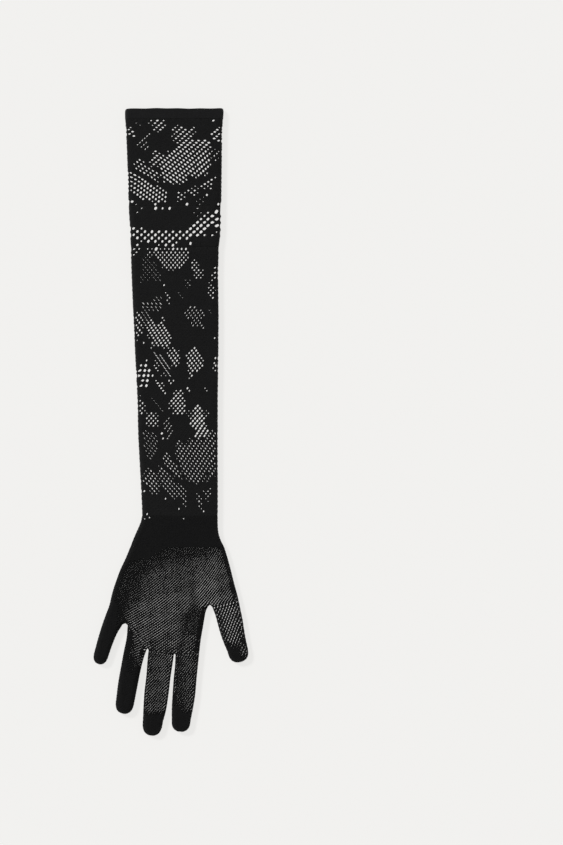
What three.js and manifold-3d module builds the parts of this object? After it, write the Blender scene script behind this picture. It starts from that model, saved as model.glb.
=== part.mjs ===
// Long lace glove lying flat: a hollow knitted tube with a dense hem, a floral lace sleeve
// cut through by windows of open net, a plain wrist band, a net hand and five finger tubes.
// Millimetres, +Z up, +Y towards the mouth of the glove. The underside lies in the plane z = 0
// and the origin is under the middle of the glove's outline.

import * as THREE from 'three';
import { mergeGeometries, mergeVertices } from 'three/addons/utils/BufferGeometryUtils.js';
import Module from 'manifold-3d';

// Driving dimensions
const GLOVE_LENGTH = 520;
const SLEEVE_HEIGHT = 7.6;
const HAND_HEIGHT = 7.4;
const FINGER_HEIGHT = 6.8;
const WALL = 1.0;
const HEM_WALL = 1.3;
const MOUTH_HEIGHT = 7.4;
const PIECE_GAP = 0.3;
const FOLD_RADIUS = 3.0;
const FOLD_LEVEL = 0.36;
const SHOULDER_LEVEL = 0.9;
const OVERRUN = 6;
const MERGE = 1e-4;

// Where one stage of the knitting ends and the next begins, along Y
const MOUTH = GLOVE_LENGTH / 2;
const HEM_END = 251.2;
const LACE_END = -77.5;
const WRIST_END = -103.3;

// Main tube from the mouth to the finger roots: where each section lies along Y, its left and
// right fold, its height and its wall
const MAIN_TUBE = [
  { y: MOUTH, left: -36.4, right: 43.0, height: MOUTH_HEIGHT, wall: HEM_WALL },
  { y: 257.9, left: -37.7, right: 44.0, height: SLEEVE_HEIGHT, wall: HEM_WALL },
  { y: 251.3, left: -37.9, right: 43.7, height: SLEEVE_HEIGHT, wall: HEM_WALL },
  { y: 250.5, left: -37.8, right: 43.5, height: SLEEVE_HEIGHT, wall: WALL },
  { y: 245.3, left: -37.4, right: 43.2, height: SLEEVE_HEIGHT, wall: WALL },
  { y: 205.0, left: -35.9, right: 42.5, height: SLEEVE_HEIGHT, wall: WALL },
  { y: 154.0, left: -33.6, right: 41.2, height: SLEEVE_HEIGHT, wall: WALL },
  { y: 145.7, left: -33.3, right: 39.9, height: SLEEVE_HEIGHT, wall: WALL },
  { y: 87.6, left: -31.1, right: 40.0, height: SLEEVE_HEIGHT, wall: WALL },
  { y: 21.2, left: -27.8, right: 39.3, height: SLEEVE_HEIGHT, wall: WALL },
  { y: -45.2, left: -25.2, right: 39.3, height: SLEEVE_HEIGHT, wall: WALL },
  { y: -76.5, left: -23.7, right: 39.1, height: SLEEVE_HEIGHT, wall: WALL },
  { y: -82.5, left: -24.8, right: 39.2, height: SLEEVE_HEIGHT, wall: WALL },
  { y: -92.5, left: -29.1, right: 39.8, height: SLEEVE_HEIGHT, wall: WALL },
  { y: -97.4, left: -31.2, right: 41.2, height: SLEEVE_HEIGHT, wall: WALL },
  { y: -102.4, left: -33.1, right: 44.2, height: SLEEVE_HEIGHT, wall: WALL },
  { y: -112.4, left: -37.2, right: 47.3, height: HAND_HEIGHT, wall: WALL },
  { y: -122.3, left: -41.8, right: 50.0, height: HAND_HEIGHT, wall: WALL },
  { y: -132.3, left: -45.4, right: 52.4, height: HAND_HEIGHT, wall: WALL },
  { y: -142.3, left: -48.6, right: 54.6, height: HAND_HEIGHT, wall: WALL },
  { y: -148.0, left: -49.6, right: 42.0, height: HAND_HEIGHT, wall: WALL },
  { y: -152.0, left: -50.0, right: 32.4, height: HAND_HEIGHT, wall: WALL },
  { y: -160.0, left: -47.0, right: 28.6, height: HAND_HEIGHT, wall: WALL },
  { y: -167.3, left: -37.1, right: 27.2, height: 7.2, wall: WALL },
  { y: -178.0, left: -28.4, right: 25.2, height: 7.0, wall: WALL },
  { y: -188.0, left: -19.0, right: 23.9, height: 6.8, wall: WALL },
  { y: -192.1, left: -14.0, right: 20.0, height: 6.4, wall: WALL },
];

// Webs between the fingers: the point just past each web, and the point that a line between
// the two free fingers then runs out to
const WEB = {
  outerLittle: { x: -57.0, y: -160.6, outX: -90, outY: -190 },
  littleRing: { x: -37.2, y: -167.9, outX: -55, outY: -225 },
  ringMiddle: { x: -19.5, y: -188.6, outX: -35, outY: -270 },
  middleIndex: { x: 3.3, y: -192.6, outX: -2, outY: -270 },
  outerIndex: { x: 25.5, y: -189.6, outX: 33, outY: -270 },
  indexThumb: { x: 32.9, y: -152.7, outX: 38, outY: -215 },
  outerThumb: { x: 58.5, y: -146.4, outX: 90, outY: -190 },
};

// Finger tubes: each row is one section from its left fold to its right fold, the first rows
// inside the hand, and tip is how far the rounded end reaches past the last row
const FINGERS = [
  {
    name: 'little_finger',
    webs: [WEB.outerLittle, WEB.littleRing],
    tip: 9.3,
    sections: [
      { leftX: -49.6, leftY: -147.0, rightX: -32.0, rightY: -153.0 },
      { leftX: -54.4, leftY: -161.2, rightX: -38.6, rightY: -166.9 },
      { leftX: -57.4, leftY: -169.7, rightX: -44.3, rightY: -174.9 },
      { leftX: -60.8, leftY: -180.0, rightX: -47.9, rightY: -184.5 },
      { leftX: -63.4, leftY: -190.0, rightX: -51.1, rightY: -193.4 },
    ],
  },
  {
    name: 'ring_finger',
    webs: [WEB.littleRing, WEB.ringMiddle],
    tip: 11.2,
    sections: [
      { leftX: -31.5, leftY: -152.0, rightX: -14.0, rightY: -155.4 },
      { leftX: -34.8, leftY: -167.6, rightX: -17.6, rightY: -171.0 },
      { leftX: -36.8, leftY: -179.2, rightX: -19.7, rightY: -182.5 },
      { leftX: -38.8, leftY: -189.6, rightX: -21.6, rightY: -193.2 },
      { leftX: -40.9, leftY: -200.0, rightX: -24.1, rightY: -203.2 },
      { leftX: -43.3, leftY: -214.5, rightX: -27.3, rightY: -217.7 },
      { leftX: -45.3, leftY: -229.8, rightX: -29.9, rightY: -232.4 },
    ],
  },
  {
    name: 'middle_finger',
    webs: [WEB.ringMiddle, WEB.middleIndex],
    tip: 12.0,
    sections: [
      { leftX: -16.0, leftY: -170.0, rightX: 5.6, rightY: -172.0 },
      { leftX: -18.1, leftY: -185.5, rightX: 3.5, rightY: -187.5 },
      { leftX: -19.1, leftY: -196.0, rightX: 2.0, rightY: -198.0 },
      { leftX: -20.4, leftY: -211.0, rightX: -0.2, rightY: -213.0 },
      { leftX: -21.9, leftY: -224.4, rightX: -1.8, rightY: -226.4 },
      { leftX: -22.7, leftY: -238.0, rightX: -3.9, rightY: -240.0 },
      { leftX: -23.1, leftY: -247.0, rightX: -6.3, rightY: -249.0 },
    ],
  },
  {
    name: 'index_finger',
    webs: [WEB.middleIndex, WEB.outerIndex],
    tip: 10.0,
    sections: [
      { leftX: 6.4, leftY: -165.0, rightX: 27.6, rightY: -167.0 },
      { leftX: 5.0, leftY: -180.0, rightX: 25.0, rightY: -182.0 },
      { leftX: 4.0, leftY: -191.0, rightX: 23.8, rightY: -193.0 },
      { leftX: 3.3, leftY: -203.0, rightX: 22.4, rightY: -204.7 },
      { leftX: 1.8, leftY: -220.0, rightX: 21.0, rightY: -221.5 },
      { leftX: 0.9, leftY: -235.0, rightX: 18.8, rightY: -236.5 },
      { leftX: 0.9, leftY: -246.0, rightX: 16.7, rightY: -247.5 },
    ],
  },
  {
    name: 'thumb',
    webs: [WEB.indexThumb, WEB.outerThumb],
    tip: 10.8,
    sections: [
      { leftX: 26.0, leftY: -135.0, rightX: 51.8, rightY: -129.4 },
      { leftX: 31.8, leftY: -149.0, rightX: 55.7, rightY: -144.6 },
      { leftX: 35.9, leftY: -157.2, rightX: 57.7, rightY: -152.2 },
      { leftX: 38.9, leftY: -167.0, rightX: 59.3, rightY: -161.9 },
      { leftX: 41.4, leftY: -175.5, rightX: 60.8, rightY: -170.5 },
      { leftX: 43.9, leftY: -183.0, rightX: 62.2, rightY: -178.4 },
      { leftX: 46.8, leftY: -190.0, rightX: 63.9, rightY: -186.6 },
    ],
  },
];

// Windows of open net in the lace, each an ellipse turned anticlockwise by tilt degrees
const LACE_WINDOWS = [
  { name: 'bud', x: -10.5, y: 242.0, halfWide: 7, halfTall: 4, tilt: 0 },
  { name: 'edge bud', x: -30.5, y: 240.0, halfWide: 5, halfTall: 4, tilt: 0 },
  { name: 'upper petal net', x: 12.0, y: 237.0, halfWide: 12, halfTall: 6, tilt: 6 },
  { name: 'edge petal net', x: 37.5, y: 237.5, halfWide: 5, halfTall: 6, tilt: 0 },
  { name: 'fan left lobe', x: -17.5, y: 208.5, halfWide: 9, halfTall: 10, tilt: 25 },
  { name: 'fan centre lobe', x: 4.0, y: 211.0, halfWide: 10.5, halfTall: 15, tilt: 0 },
  { name: 'fan right lobe', x: 26.5, y: 217.0, halfWide: 8.5, halfTall: 16, tilt: -12 },
  { name: 'net under arc', x: -20.0, y: 191.5, halfWide: 16.5, halfTall: 7, tilt: -25 },
  { name: 'strip under arc', x: 24.0, y: 193.0, halfWide: 16, halfTall: 4, tilt: 25 },
  { name: 'coarse band left', x: -10.0, y: 153.5, halfWide: 25, halfTall: 7, tilt: 0 },
  { name: 'coarse band right', x: 29.0, y: 165.0, halfWide: 17, halfTall: 8, tilt: 35 },
  { name: 'small fan', x: 0.5, y: 137.0, halfWide: 16, halfTall: 9, tilt: 0 },
  { name: 'slant slip', x: 22.0, y: 126.5, halfWide: 4.5, halfTall: 8, tilt: 25 },
  { name: 'edge tear', x: 36.0, y: 124.0, halfWide: 3, halfTall: 8, tilt: 0 },
  { name: 'edge leaf', x: 34.5, y: 104.5, halfWide: 3.5, halfTall: 8, tilt: 15 },
  { name: 'left edge vine', x: -25.5, y: 80.0, halfWide: 4, halfTall: 12, tilt: 0 },
  { name: 'heart net', x: -9.0, y: 73.5, halfWide: 9, halfTall: 11, tilt: -10 },
  { name: 'heart point', x: 2.5, y: 54.0, halfWide: 5, halfTall: 8, tilt: 15 },
  { name: 'right leaf', x: 21.0, y: 50.0, halfWide: 6, halfTall: 12, tilt: -10 },
  { name: 'left leaf', x: -20.0, y: 39.0, halfWide: 6, halfTall: 11, tilt: -10 },
  { name: 'stem slip', x: -7.5, y: 28.0, halfWide: 4.5, halfTall: 8, tilt: 30 },
  { name: 'inner leaf', x: 5.0, y: 16.5, halfWide: 6.5, halfTall: 10, tilt: -10 },
  { name: 'calyx net', x: -15.5, y: 2.0, halfWide: 5.5, halfTall: 7, tilt: 0 },
  { name: 'flower side net', x: 23.0, y: 4.5, halfWide: 8.5, halfTall: 9, tilt: 0 },
  { name: 'great window', x: 22.0, y: -28.0, halfWide: 14, halfTall: 21, tilt: -14 },
  { name: 'lower petal net', x: 1.5, y: -36.0, halfWide: 6, halfTall: 8, tilt: 0 },
  { name: 'lower edge net', x: -15.0, y: -48.0, halfWide: 6, halfTall: 12, tilt: 10 },
  { name: 'hanging net', x: 2.0, y: -55.0, halfWide: 9, halfTall: 13, tilt: 0 },
  { name: 'lower corner net', x: 29.5, y: -63.0, halfWide: 6, halfTall: 9, tilt: 0 },
];
const NET_ACROSS = 9.4;
const NET_ALONG = 12.4;
const GAP_SHARE = 0.75;
const HALF_ACROSS = (NET_ACROSS * GAP_SHARE) / 2;
const HALF_ALONG = (NET_ALONG * GAP_SHARE) / 2;
const FOLD_MARGIN = 3.4;
const END_MARGIN = 3.0;

// Rounded fingertips: a superellipse in plan, whose last ring lies just short of the very end
const TIP_STEPS = 4;
const TIP_ROUNDNESS = 2.4;
const TIP_REACH = 0.99;
const TIP_DROP = 0.35;

// Sections: a fold takes at most this share of half a narrow tube
const FOLD_SHARE = 0.45;
const LEAST_FOLD = 0.1;
const CORNER_STEPS = 2;
const CROWN_STEPS = 4;

const wasm = await Module();
wasm.setup();

// Turns a closed three.js geometry into a solid that can be joined and cut
function toSolid(geometry) {
  const bare = geometry.index ? geometry.toNonIndexed() : geometry.clone();
  bare.deleteAttribute('normal');
  bare.deleteAttribute('uv');
  const merged = mergeVertices(bare, MERGE);
  return new wasm.Manifold(new wasm.Mesh({
    numProp: 3,
    vertProperties: new Float32Array(merged.attributes.position.array),
    triVerts: new Uint32Array(merged.index.array),
  }));
}

// Turns a solid back into a geometry
function toGeometry(solid) {
  const mesh = solid.getMesh();
  const geometry = new THREE.BufferGeometry();
  geometry.setAttribute('position', new THREE.BufferAttribute(mesh.vertProperties, 3));
  geometry.setIndex(new THREE.BufferAttribute(mesh.triVerts, 1));
  geometry.computeVertexNormals();
  return geometry;
}

// Outline of one flattened tube section, as [across, up] from its middle: a flat underside,
// a rounded fold on each side and a slightly crowned top
function sectionOutline(halfWidth, height, wall) {
  const edge = halfWidth - wall;
  const reach = Math.min(FOLD_RADIUS, halfWidth * FOLD_SHARE);
  const flat = Math.min(halfWidth - reach, edge - LEAST_FOLD);
  const floor = wall;
  const fold = height * FOLD_LEVEL;
  const shoulder = height * SHOULDER_LEVEL - wall;
  const crown = height - wall;
  const right = [];
  for (let i = 0; i <= CORNER_STEPS; i += 1) {
    const turn = (i / CORNER_STEPS) * (Math.PI / 2);
    right.push([flat + (edge - flat) * Math.sin(turn), fold - (fold - floor) * Math.cos(turn)]);
  }
  for (let i = 1; i <= CORNER_STEPS; i += 1) {
    const turn = (i / CORNER_STEPS) * (Math.PI / 2);
    right.push([flat + (edge - flat) * Math.cos(turn), fold + (shoulder - fold) * Math.sin(turn)]);
  }
  const top = [];
  for (let i = 1; i < CROWN_STEPS; i += 1) {
    const across = 1 - (2 * i) / CROWN_STEPS;
    top.push([flat * across, crown - (crown - shoulder) * across * across]);
  }
  const left = right.map(([across, up]) => [-across, up]).reverse();
  return [...right, ...top, ...left];
}

// Places a section between its left and right fold
function placeSection(row, wall) {
  const left = new THREE.Vector2(row.leftX, row.leftY);
  const right = new THREE.Vector2(row.rightX, row.rightY);
  const middle = left.clone().add(right).multiplyScalar(0.5);
  const along = right.clone().sub(left).normalize();
  const outline = sectionOutline(left.distanceTo(right) / 2, row.height, wall);
  return outline.map(([across, up]) => new THREE.Vector3(
    middle.x + along.x * across,
    middle.y + along.y * across,
    up,
  ));
}

// Skins a closed tube over rings of points, with a flat cap at each end
function skin(rings) {
  const count = rings[0].length;
  const position = rings.flat().flatMap((point) => [point.x, point.y, point.z]);
  const index = [];
  for (let r = 0; r + 1 < rings.length; r += 1) {
    for (let i = 0; i < count; i += 1) {
      const a = r * count + i;
      const b = r * count + ((i + 1) % count);
      index.push(a, b, a + count, b, b + count, a + count);
    }
  }
  const lastRing = (rings.length - 1) * count;
  for (let i = 1; i + 1 < count; i += 1) {
    index.push(0, i + 1, i);
    index.push(lastRing, lastRing + i, lastRing + i + 1);
  }
  const geometry = new THREE.BufferGeometry();
  geometry.setAttribute('position', new THREE.Float32BufferAttribute(position, 3));
  geometry.setIndex(index);
  return geometry;
}

// Main tube as a solid; inner is its hollow, which runs out through the mouth
function mainTube(inner) {
  const rows = MAIN_TUBE.map((row) => ({
    leftX: row.left,
    rightX: row.right,
    leftY: row.y,
    rightY: row.y,
    height: row.height,
    wall: inner ? row.wall : 0,
  }));
  if (inner) {
    rows.unshift({ ...rows[0], leftY: MOUTH + OVERRUN, rightY: MOUTH + OVERRUN });
    const end = rows[rows.length - 1];
    end.leftY += WALL;
    end.rightY += WALL;
  }
  return toSolid(skin(rows.map((row) => placeSection(row, row.wall))));
}

// Finger tube as a solid, with its rounded tip; inner is its hollow
function fingerTube(finger, inner) {
  const wall = inner ? WALL : 0;
  const rows = finger.sections.map((row) => ({ ...row, height: FINGER_HEIGHT }));
  const last = rows[rows.length - 1];
  const across = new THREE.Vector2(last.rightX - last.leftX, last.rightY - last.leftY);
  const middle = new THREE.Vector2(last.leftX + last.rightX, last.leftY + last.rightY);
  middle.multiplyScalar(0.5);
  const forward = new THREE.Vector2(across.y, -across.x).normalize();
  const rings = rows.map((row) => placeSection(row, wall));
  for (let i = 1; i <= TIP_STEPS; i += 1) {
    const share = TIP_REACH * Math.sin((i / TIP_STEPS) * (Math.PI / 2));
    const width = (1 - share ** TIP_ROUNDNESS) ** (1 / TIP_ROUNDNESS);
    const centre = middle.clone().addScaledVector(forward, share * (finger.tip - wall));
    const half = across.clone().multiplyScalar(width / 2);
    rings.push(placeSection({
      leftX: centre.x - half.x,
      leftY: centre.y - half.y,
      rightX: centre.x + half.x,
      rightY: centre.y + half.y,
      height: FINGER_HEIGHT * (1 - TIP_DROP * (1 - width)),
    }, wall));
  }
  return toSolid(skin(rings));
}

// Upright prism over a polygon of { x, y } corners, taller than the glove
function prism(corners) {
  const shape = new THREE.Shape(corners.map((corner) => new THREE.Vector2(corner.x, corner.y)));
  const depth = SLEEVE_HEIGHT + 2 * OVERRUN;
  return new THREE.ExtrudeGeometry(shape, { depth, bevelEnabled: false, steps: 1 })
    .translate(0, 0, -OVERRUN);
}

// Band of the plane between two levels along Y
function bandPrism(top, bottom) {
  const reach = GLOVE_LENGTH / 2;
  return prism([
    { x: -reach, y: bottom },
    { x: reach, y: bottom },
    { x: reach, y: top },
    { x: -reach, y: top },
  ]);
}

// Region of one free finger, from its root line outwards; shift moves the root line out
function fingerRegion(finger, shift) {
  const [left, right] = finger.webs;
  const root = new THREE.Vector2(right.x - left.x, right.y - left.y).normalize();
  const out = new THREE.Vector2(root.y, -root.x).multiplyScalar(shift);
  return prism([
    { x: left.x + out.x, y: left.y + out.y },
    { x: left.outX, y: left.outY },
    { x: right.outX, y: right.outY },
    { x: right.x + out.x, y: right.y + out.y },
  ]);
}

// Fold of the main tube at a level, between its two nearest sections
function foldsAt(y) {
  const next = MAIN_TUBE.findIndex((row) => row.y < y);
  const above = MAIN_TUBE[next - 1];
  const below = MAIN_TUBE[next];
  const share = (above.y - y) / (above.y - below.y);
  return {
    left: above.left + (below.left - above.left) * share,
    right: above.right + (below.right - above.right) * share,
  };
}

// Whether a point lies in one of the lace's windows
function inWindow(x, y) {
  return LACE_WINDOWS.some((window) => {
    const turn = THREE.MathUtils.degToRad(window.tilt);
    const across = (x - window.x) * Math.cos(turn) + (y - window.y) * Math.sin(turn);
    const along = (y - window.y) * Math.cos(turn) - (x - window.x) * Math.sin(turn);
    return (across / window.halfWide) ** 2 + (along / window.halfTall) ** 2 <= 1;
  });
}

// Middles of the gaps: one staggered net over the whole sleeve, open where a window lies
function laceGaps() {
  const rowStep = NET_ALONG / 2;
  const rows = Math.floor((HEM_END - LACE_END) / rowStep);
  const columns = Math.ceil(MAIN_TUBE[1].right / NET_ACROSS);
  const gaps = [];
  for (let row = 1; row < rows; row += 1) {
    const y = HEM_END - row * rowStep;
    const folds = foldsAt(y);
    for (let column = -columns; column <= columns; column += 1) {
      const x = (column + (row % 2) / 2) * NET_ACROSS;
      const clearFolds = x - HALF_ACROSS > folds.left + FOLD_MARGIN
        && x + HALF_ACROSS < folds.right - FOLD_MARGIN;
      const clearEnds = y + HALF_ALONG < HEM_END - END_MARGIN
        && y - HALF_ALONG > LACE_END + END_MARGIN;
      if (clearFolds && clearEnds && inWindow(x, y)) {
        gaps.push({ x, y });
      }
    }
  }
  return gaps;
}

// Upright cutter for one diamond gap of the net
function gapCutter(gap) {
  return prism([
    { x: gap.x + HALF_ACROSS, y: gap.y },
    { x: gap.x, y: gap.y + HALF_ALONG },
    { x: gap.x - HALF_ACROSS, y: gap.y },
    { x: gap.x, y: gap.y - HALF_ALONG },
  ]);
}

// Black cotton yarn: the dense knitting takes a little more light than the net
function yarn(name, color) {
  return new THREE.MeshStandardMaterial({ name, color, roughness: 0.9, metalness: 0 });
}

const shell = (() => {
  const outer = FINGERS.reduce((sum, finger) => sum.add(fingerTube(finger, false)), mainTube(false));
  const inner = FINGERS.reduce((sum, finger) => sum.add(fingerTube(finger, true)), mainTube(true));
  return outer.subtract(inner);
})();

const glove = new THREE.Group();
glove.name = 'lace_glove';

function addPiece(name, solid, color) {
  const mesh = new THREE.Mesh(toGeometry(solid), yarn(`${name}_yarn`, color));
  mesh.name = name;
  glove.add(mesh);
}

const half = PIECE_GAP / 2;
const stage = (top, bottom) => shell.intersect(toSolid(bandPrism(top, bottom)));

addPiece('top_hem', stage(MOUTH + OVERRUN, HEM_END + half), 0x1d1d1f);

const cutters = toSolid(mergeGeometries(laceGaps().map(gapCutter)));
addPiece('lace_sleeve', stage(HEM_END - half, LACE_END + half).subtract(cutters), 0x19191b);

addPiece('wrist_band', stage(LACE_END - half, WRIST_END + half), 0x1d1d1f);

const belowWrist = stage(WRIST_END - half, -GLOVE_LENGTH);
const hand = FINGERS.reduce(
  (rest, finger) => rest.subtract(toSolid(fingerRegion(finger, -half))),
  belowWrist,
);
addPiece('hand', hand, 0x1f1f21);

FINGERS.forEach((finger) => {
  addPiece(finger.name, belowWrist.intersect(toSolid(fingerRegion(finger, half))), 0x1b1b1d);
});

export default glove;
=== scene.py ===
# %% [markdown]
# # A long lace glove, lying flat
#
# The glove is one knitted tube, 52 cm long, that changes its stitch on the way down: a dense
# welt at the mouth, a floral lace sleeve, a plain wrist band, a fine net hand and five net
# fingers with dense tips. The frame holds each of these stages as a plain hollow solid. Here
# each gets its real fabric: a net of cells with true holes, on the upper and the lower side
# of the tube, turned over at the folds.

from collections import namedtuple

import bpy
import numpy as np
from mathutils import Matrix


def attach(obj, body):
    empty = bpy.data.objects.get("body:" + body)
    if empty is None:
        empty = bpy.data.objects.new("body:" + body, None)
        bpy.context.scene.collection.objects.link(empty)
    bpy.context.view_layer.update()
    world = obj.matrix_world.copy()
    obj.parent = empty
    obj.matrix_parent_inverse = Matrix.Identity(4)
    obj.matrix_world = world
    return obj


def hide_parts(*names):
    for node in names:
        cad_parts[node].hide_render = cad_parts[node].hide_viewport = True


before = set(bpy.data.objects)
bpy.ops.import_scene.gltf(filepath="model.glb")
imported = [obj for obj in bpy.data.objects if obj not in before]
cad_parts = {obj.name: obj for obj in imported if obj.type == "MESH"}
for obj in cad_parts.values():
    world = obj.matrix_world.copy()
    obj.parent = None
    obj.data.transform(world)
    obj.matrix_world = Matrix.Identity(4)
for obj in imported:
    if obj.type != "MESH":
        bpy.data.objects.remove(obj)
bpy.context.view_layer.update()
print("frame nodes:", sorted(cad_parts))

# %% [markdown]
# ## One chart for the whole glove
#
# The glove lies flat, so its plan is its drawing. Sizes are in millimetres in the frame's
# plane, and the lace chart is read in the photograph's pixels. One function turns a pixel of
# the chart into a place on the glove, so motifs can be charted where they are seen. TINY and
# NO_LENGTH only keep divisions away from zero.

# %% Units and the chart's scale
MM = 0.001
MM_PER_PIXEL = 0.83
ORIGIN_PIXEL = np.array([170.7, 422.1])
PICTURE = np.array([563.0, 845.0])
CAMERA_HEIGHT = 3000.0
TINY = 1e-6
NO_LENGTH = 1e-9


def from_chart(pixels):
    """Place in mm of a pixel of the chart: right stays right, and down the picture is -Y."""
    away = np.asarray(pixels, dtype=float) - ORIGIN_PIXEL
    return away * MM_PER_PIXEL * np.array([1.0, -1.0])


camera_spot = from_chart(PICTURE / 2)
print("the camera stands over", camera_spot.round(1), "mm")

# %% [markdown]
# ## The folds
#
# A tube that lies flat has two folds, and their course from the mouth to the fingers is the
# glove's outline. The tables give where the folds lie, a row for each place where the width
# changes. On the sleeve straight lines join the rows, and on the hand and the fingers a
# smooth curve is carried through them, so few rows are enough.

# %% Folds of the sleeve, from the mouth down to the hand
Fold = namedtuple("Fold", "y left right")
SLEEVE_FOLDS = [
    Fold(260.0, -36.6, 43.0),
    Fold(259.0, -37.6, 43.8),
    Fold(257.0, -37.9, 44.0),
    Fold(251.2, -37.8, 43.6),
    Fold(245.3, -37.4, 43.2),
    Fold(228.0, -36.5, 42.8),
    Fold(205.0, -35.7, 42.5),
    Fold(178.9, -35.0, 42.2),
    Fold(162.0, -33.9, 42.0),
    Fold(154.0, -33.6, 41.3),
    Fold(145.7, -33.3, 40.1),
    Fold(120.8, -32.5, 39.6),
    Fold(87.6, -31.1, 40.0),
    Fold(54.4, -29.5, 39.8),
    Fold(21.2, -27.8, 39.3),
    Fold(-12.0, -27.0, 39.3),
    Fold(-45.2, -25.2, 39.3),
    Fold(-70.0, -23.9, 39.3),
    Fold(-77.5, -23.8, 39.2),
    Fold(-82.5, -24.7, 39.2),
    Fold(-87.5, -26.8, 39.3),
    Fold(-92.5, -29.1, 39.9),
    Fold(-97.4, -31.2, 41.4),
    Fold(-103.3, -33.5, 44.5),
]
MOUTH = 260.0
HEM_END = 251.2
FAN_END = 178.9
BAND_END = 145.0
FLOWERS_END = 96.4
LACE_END = -77.5
WRIST_END = -103.3
STEP = 2.5


def through(points, step=STEP):
    """Curve through the points: x and y are cubic in the length walked along the chords,
    with each point's slope taken from its neighbours, and the result is walked in steps."""
    points = np.asarray(points, dtype=float)
    walked = np.concatenate([[0.0], np.hypot(*np.diff(points, axis=0).T).cumsum()])
    slope = np.gradient(points, walked, axis=0)
    at = np.linspace(0.0, walked[-1], max(2, int(np.ceil(walked[-1] / step)) + 1))
    k = np.clip(np.searchsorted(walked, at, side="right") - 1, 0, len(walked) - 2)
    run = walked[k + 1] - walked[k]
    t = ((at - walked[k]) / run)[:, None]
    run = run[:, None]
    start = points[k] * (1 + 2 * t) * (1 - t) ** 2 + slope[k] * run * t * (1 - t) ** 2
    end = points[k + 1] * t**2 * (3 - 2 * t) - slope[k + 1] * run * t**2 * (1 - t)
    return start + end


def folds_at(y):
    """x of the left and of the right fold of the sleeve at each level y."""
    levels, left, right = np.array(SLEEVE_FOLDS)[::-1].T
    return np.interp(y, levels, left), np.interp(y, levels, right)


def between(low, high):
    """Left and right fold of the tube, down from level high to level low and up again."""
    y = np.linspace(high, low, max(2, int(np.ceil((high - low) / STEP)) + 1))
    left, right = folds_at(y)
    return np.column_stack([left, y]), np.column_stack([right, y])[::-1]


print("width at the end of the hem:", np.ptp(folds_at(HEM_END)).round(1), "mm")

# %% [markdown]
# ## The hand and the fingers
#
# Each finger is a tube with a fold on each side and a round end. Its rows pair a point of the
# left fold with one of the right fold, from the root to where the tip starts to round. The
# tip is a superellipse, a little blunter than a circle, as a knitted fingertip is.

# %% Finger tables
Row = namedtuple("Row", "left_x left_y right_x right_y")
Finger = namedtuple("Finger", "name rows tip")
FINGERS = [
    Finger("little_finger", [
        Row(-54.6, -161.4, -39.6, -167.9),
        Row(-57.4, -169.7, -43.2, -173.4),
        Row(-60.5, -180.0, -47.9, -184.0),
        Row(-63.2, -190.0, -51.2, -193.4),
    ], 9.5),
    Finger("ring_finger", [
        Row(-35.7, -168.2, -19.7, -188.7),
        Row(-36.6, -178.8, -21.2, -192.6),
        Row(-38.8, -189.6, -23.0, -198.6),
        Row(-41.4, -203.5, -25.3, -208.6),
        Row(-43.6, -216.0, -27.4, -219.4),
        Row(-45.3, -229.8, -29.9, -232.4),
    ], 11.0),
    Finger("middle_finger", [
        Row(-18.4, -188.9, 2.8, -193.0),
        Row(-19.2, -197.0, 2.0, -198.8),
        Row(-20.2, -210.0, 0.0, -212.0),
        Row(-21.9, -224.4, -1.7, -226.4),
        Row(-22.7, -238.0, -3.9, -240.0),
        Row(-23.1, -247.0, -6.3, -249.0),
    ], 12.2),
    Finger("index_finger", [
        Row(3.9, -193.0, 24.0, -190.2),
        Row(3.6, -201.0, 22.8, -201.6),
        Row(2.4, -213.0, 21.6, -213.6),
        Row(1.5, -226.0, 20.4, -227.0),
        Row(0.8, -238.0, 18.4, -239.0),
        Row(0.8, -246.5, 16.7, -247.6),
    ], 9.9),
    Finger("thumb", [
        Row(34.0, -152.9, 56.5, -147.3),
        Row(36.4, -158.4, 58.4, -156.6),
        Row(38.7, -166.6, 59.9, -163.8),
        Row(40.7, -173.8, 61.0, -171.2),
        Row(43.7, -182.6, 62.4, -179.4),
        Row(47.2, -190.8, 64.1, -187.2),
    ], 10.4),
]
TIP_ROUNDNESS = 2.5
TIP_STEPS = 24


def rounded_tip(row, length):
    """End of a finger: across^n + forward^n = 1, with half the finger's width across and the
    tip's length forward, walked from the left fold to the right one."""
    left = np.array([row.left_x, row.left_y])
    right = np.array([row.right_x, row.right_y])
    middle = (left + right) / 2
    half = (right - left) / 2
    forward = np.array([half[1], -half[0]]) / np.hypot(*half) * length
    turn = np.linspace(-np.pi / 2, np.pi / 2, TIP_STEPS)
    across = np.sign(turn) * np.abs(np.sin(turn)) ** (2 / TIP_ROUNDNESS)
    ahead = np.cos(turn) ** (2 / TIP_ROUNDNESS)
    return middle + across[:, None] * half + ahead[:, None] * forward


def finger_sides(finger):
    """The fold of a finger, from its left root round the tip to its right root."""
    left = through([(row.left_x, row.left_y) for row in finger.rows])
    right = through([(row.right_x, row.right_y) for row in finger.rows])[::-1]
    return np.vstack([left[:-1], rounded_tip(finger.rows[-1], finger.tip), right[1:]])


print("fingers:", [finger.name for finger in FINGERS])

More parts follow.
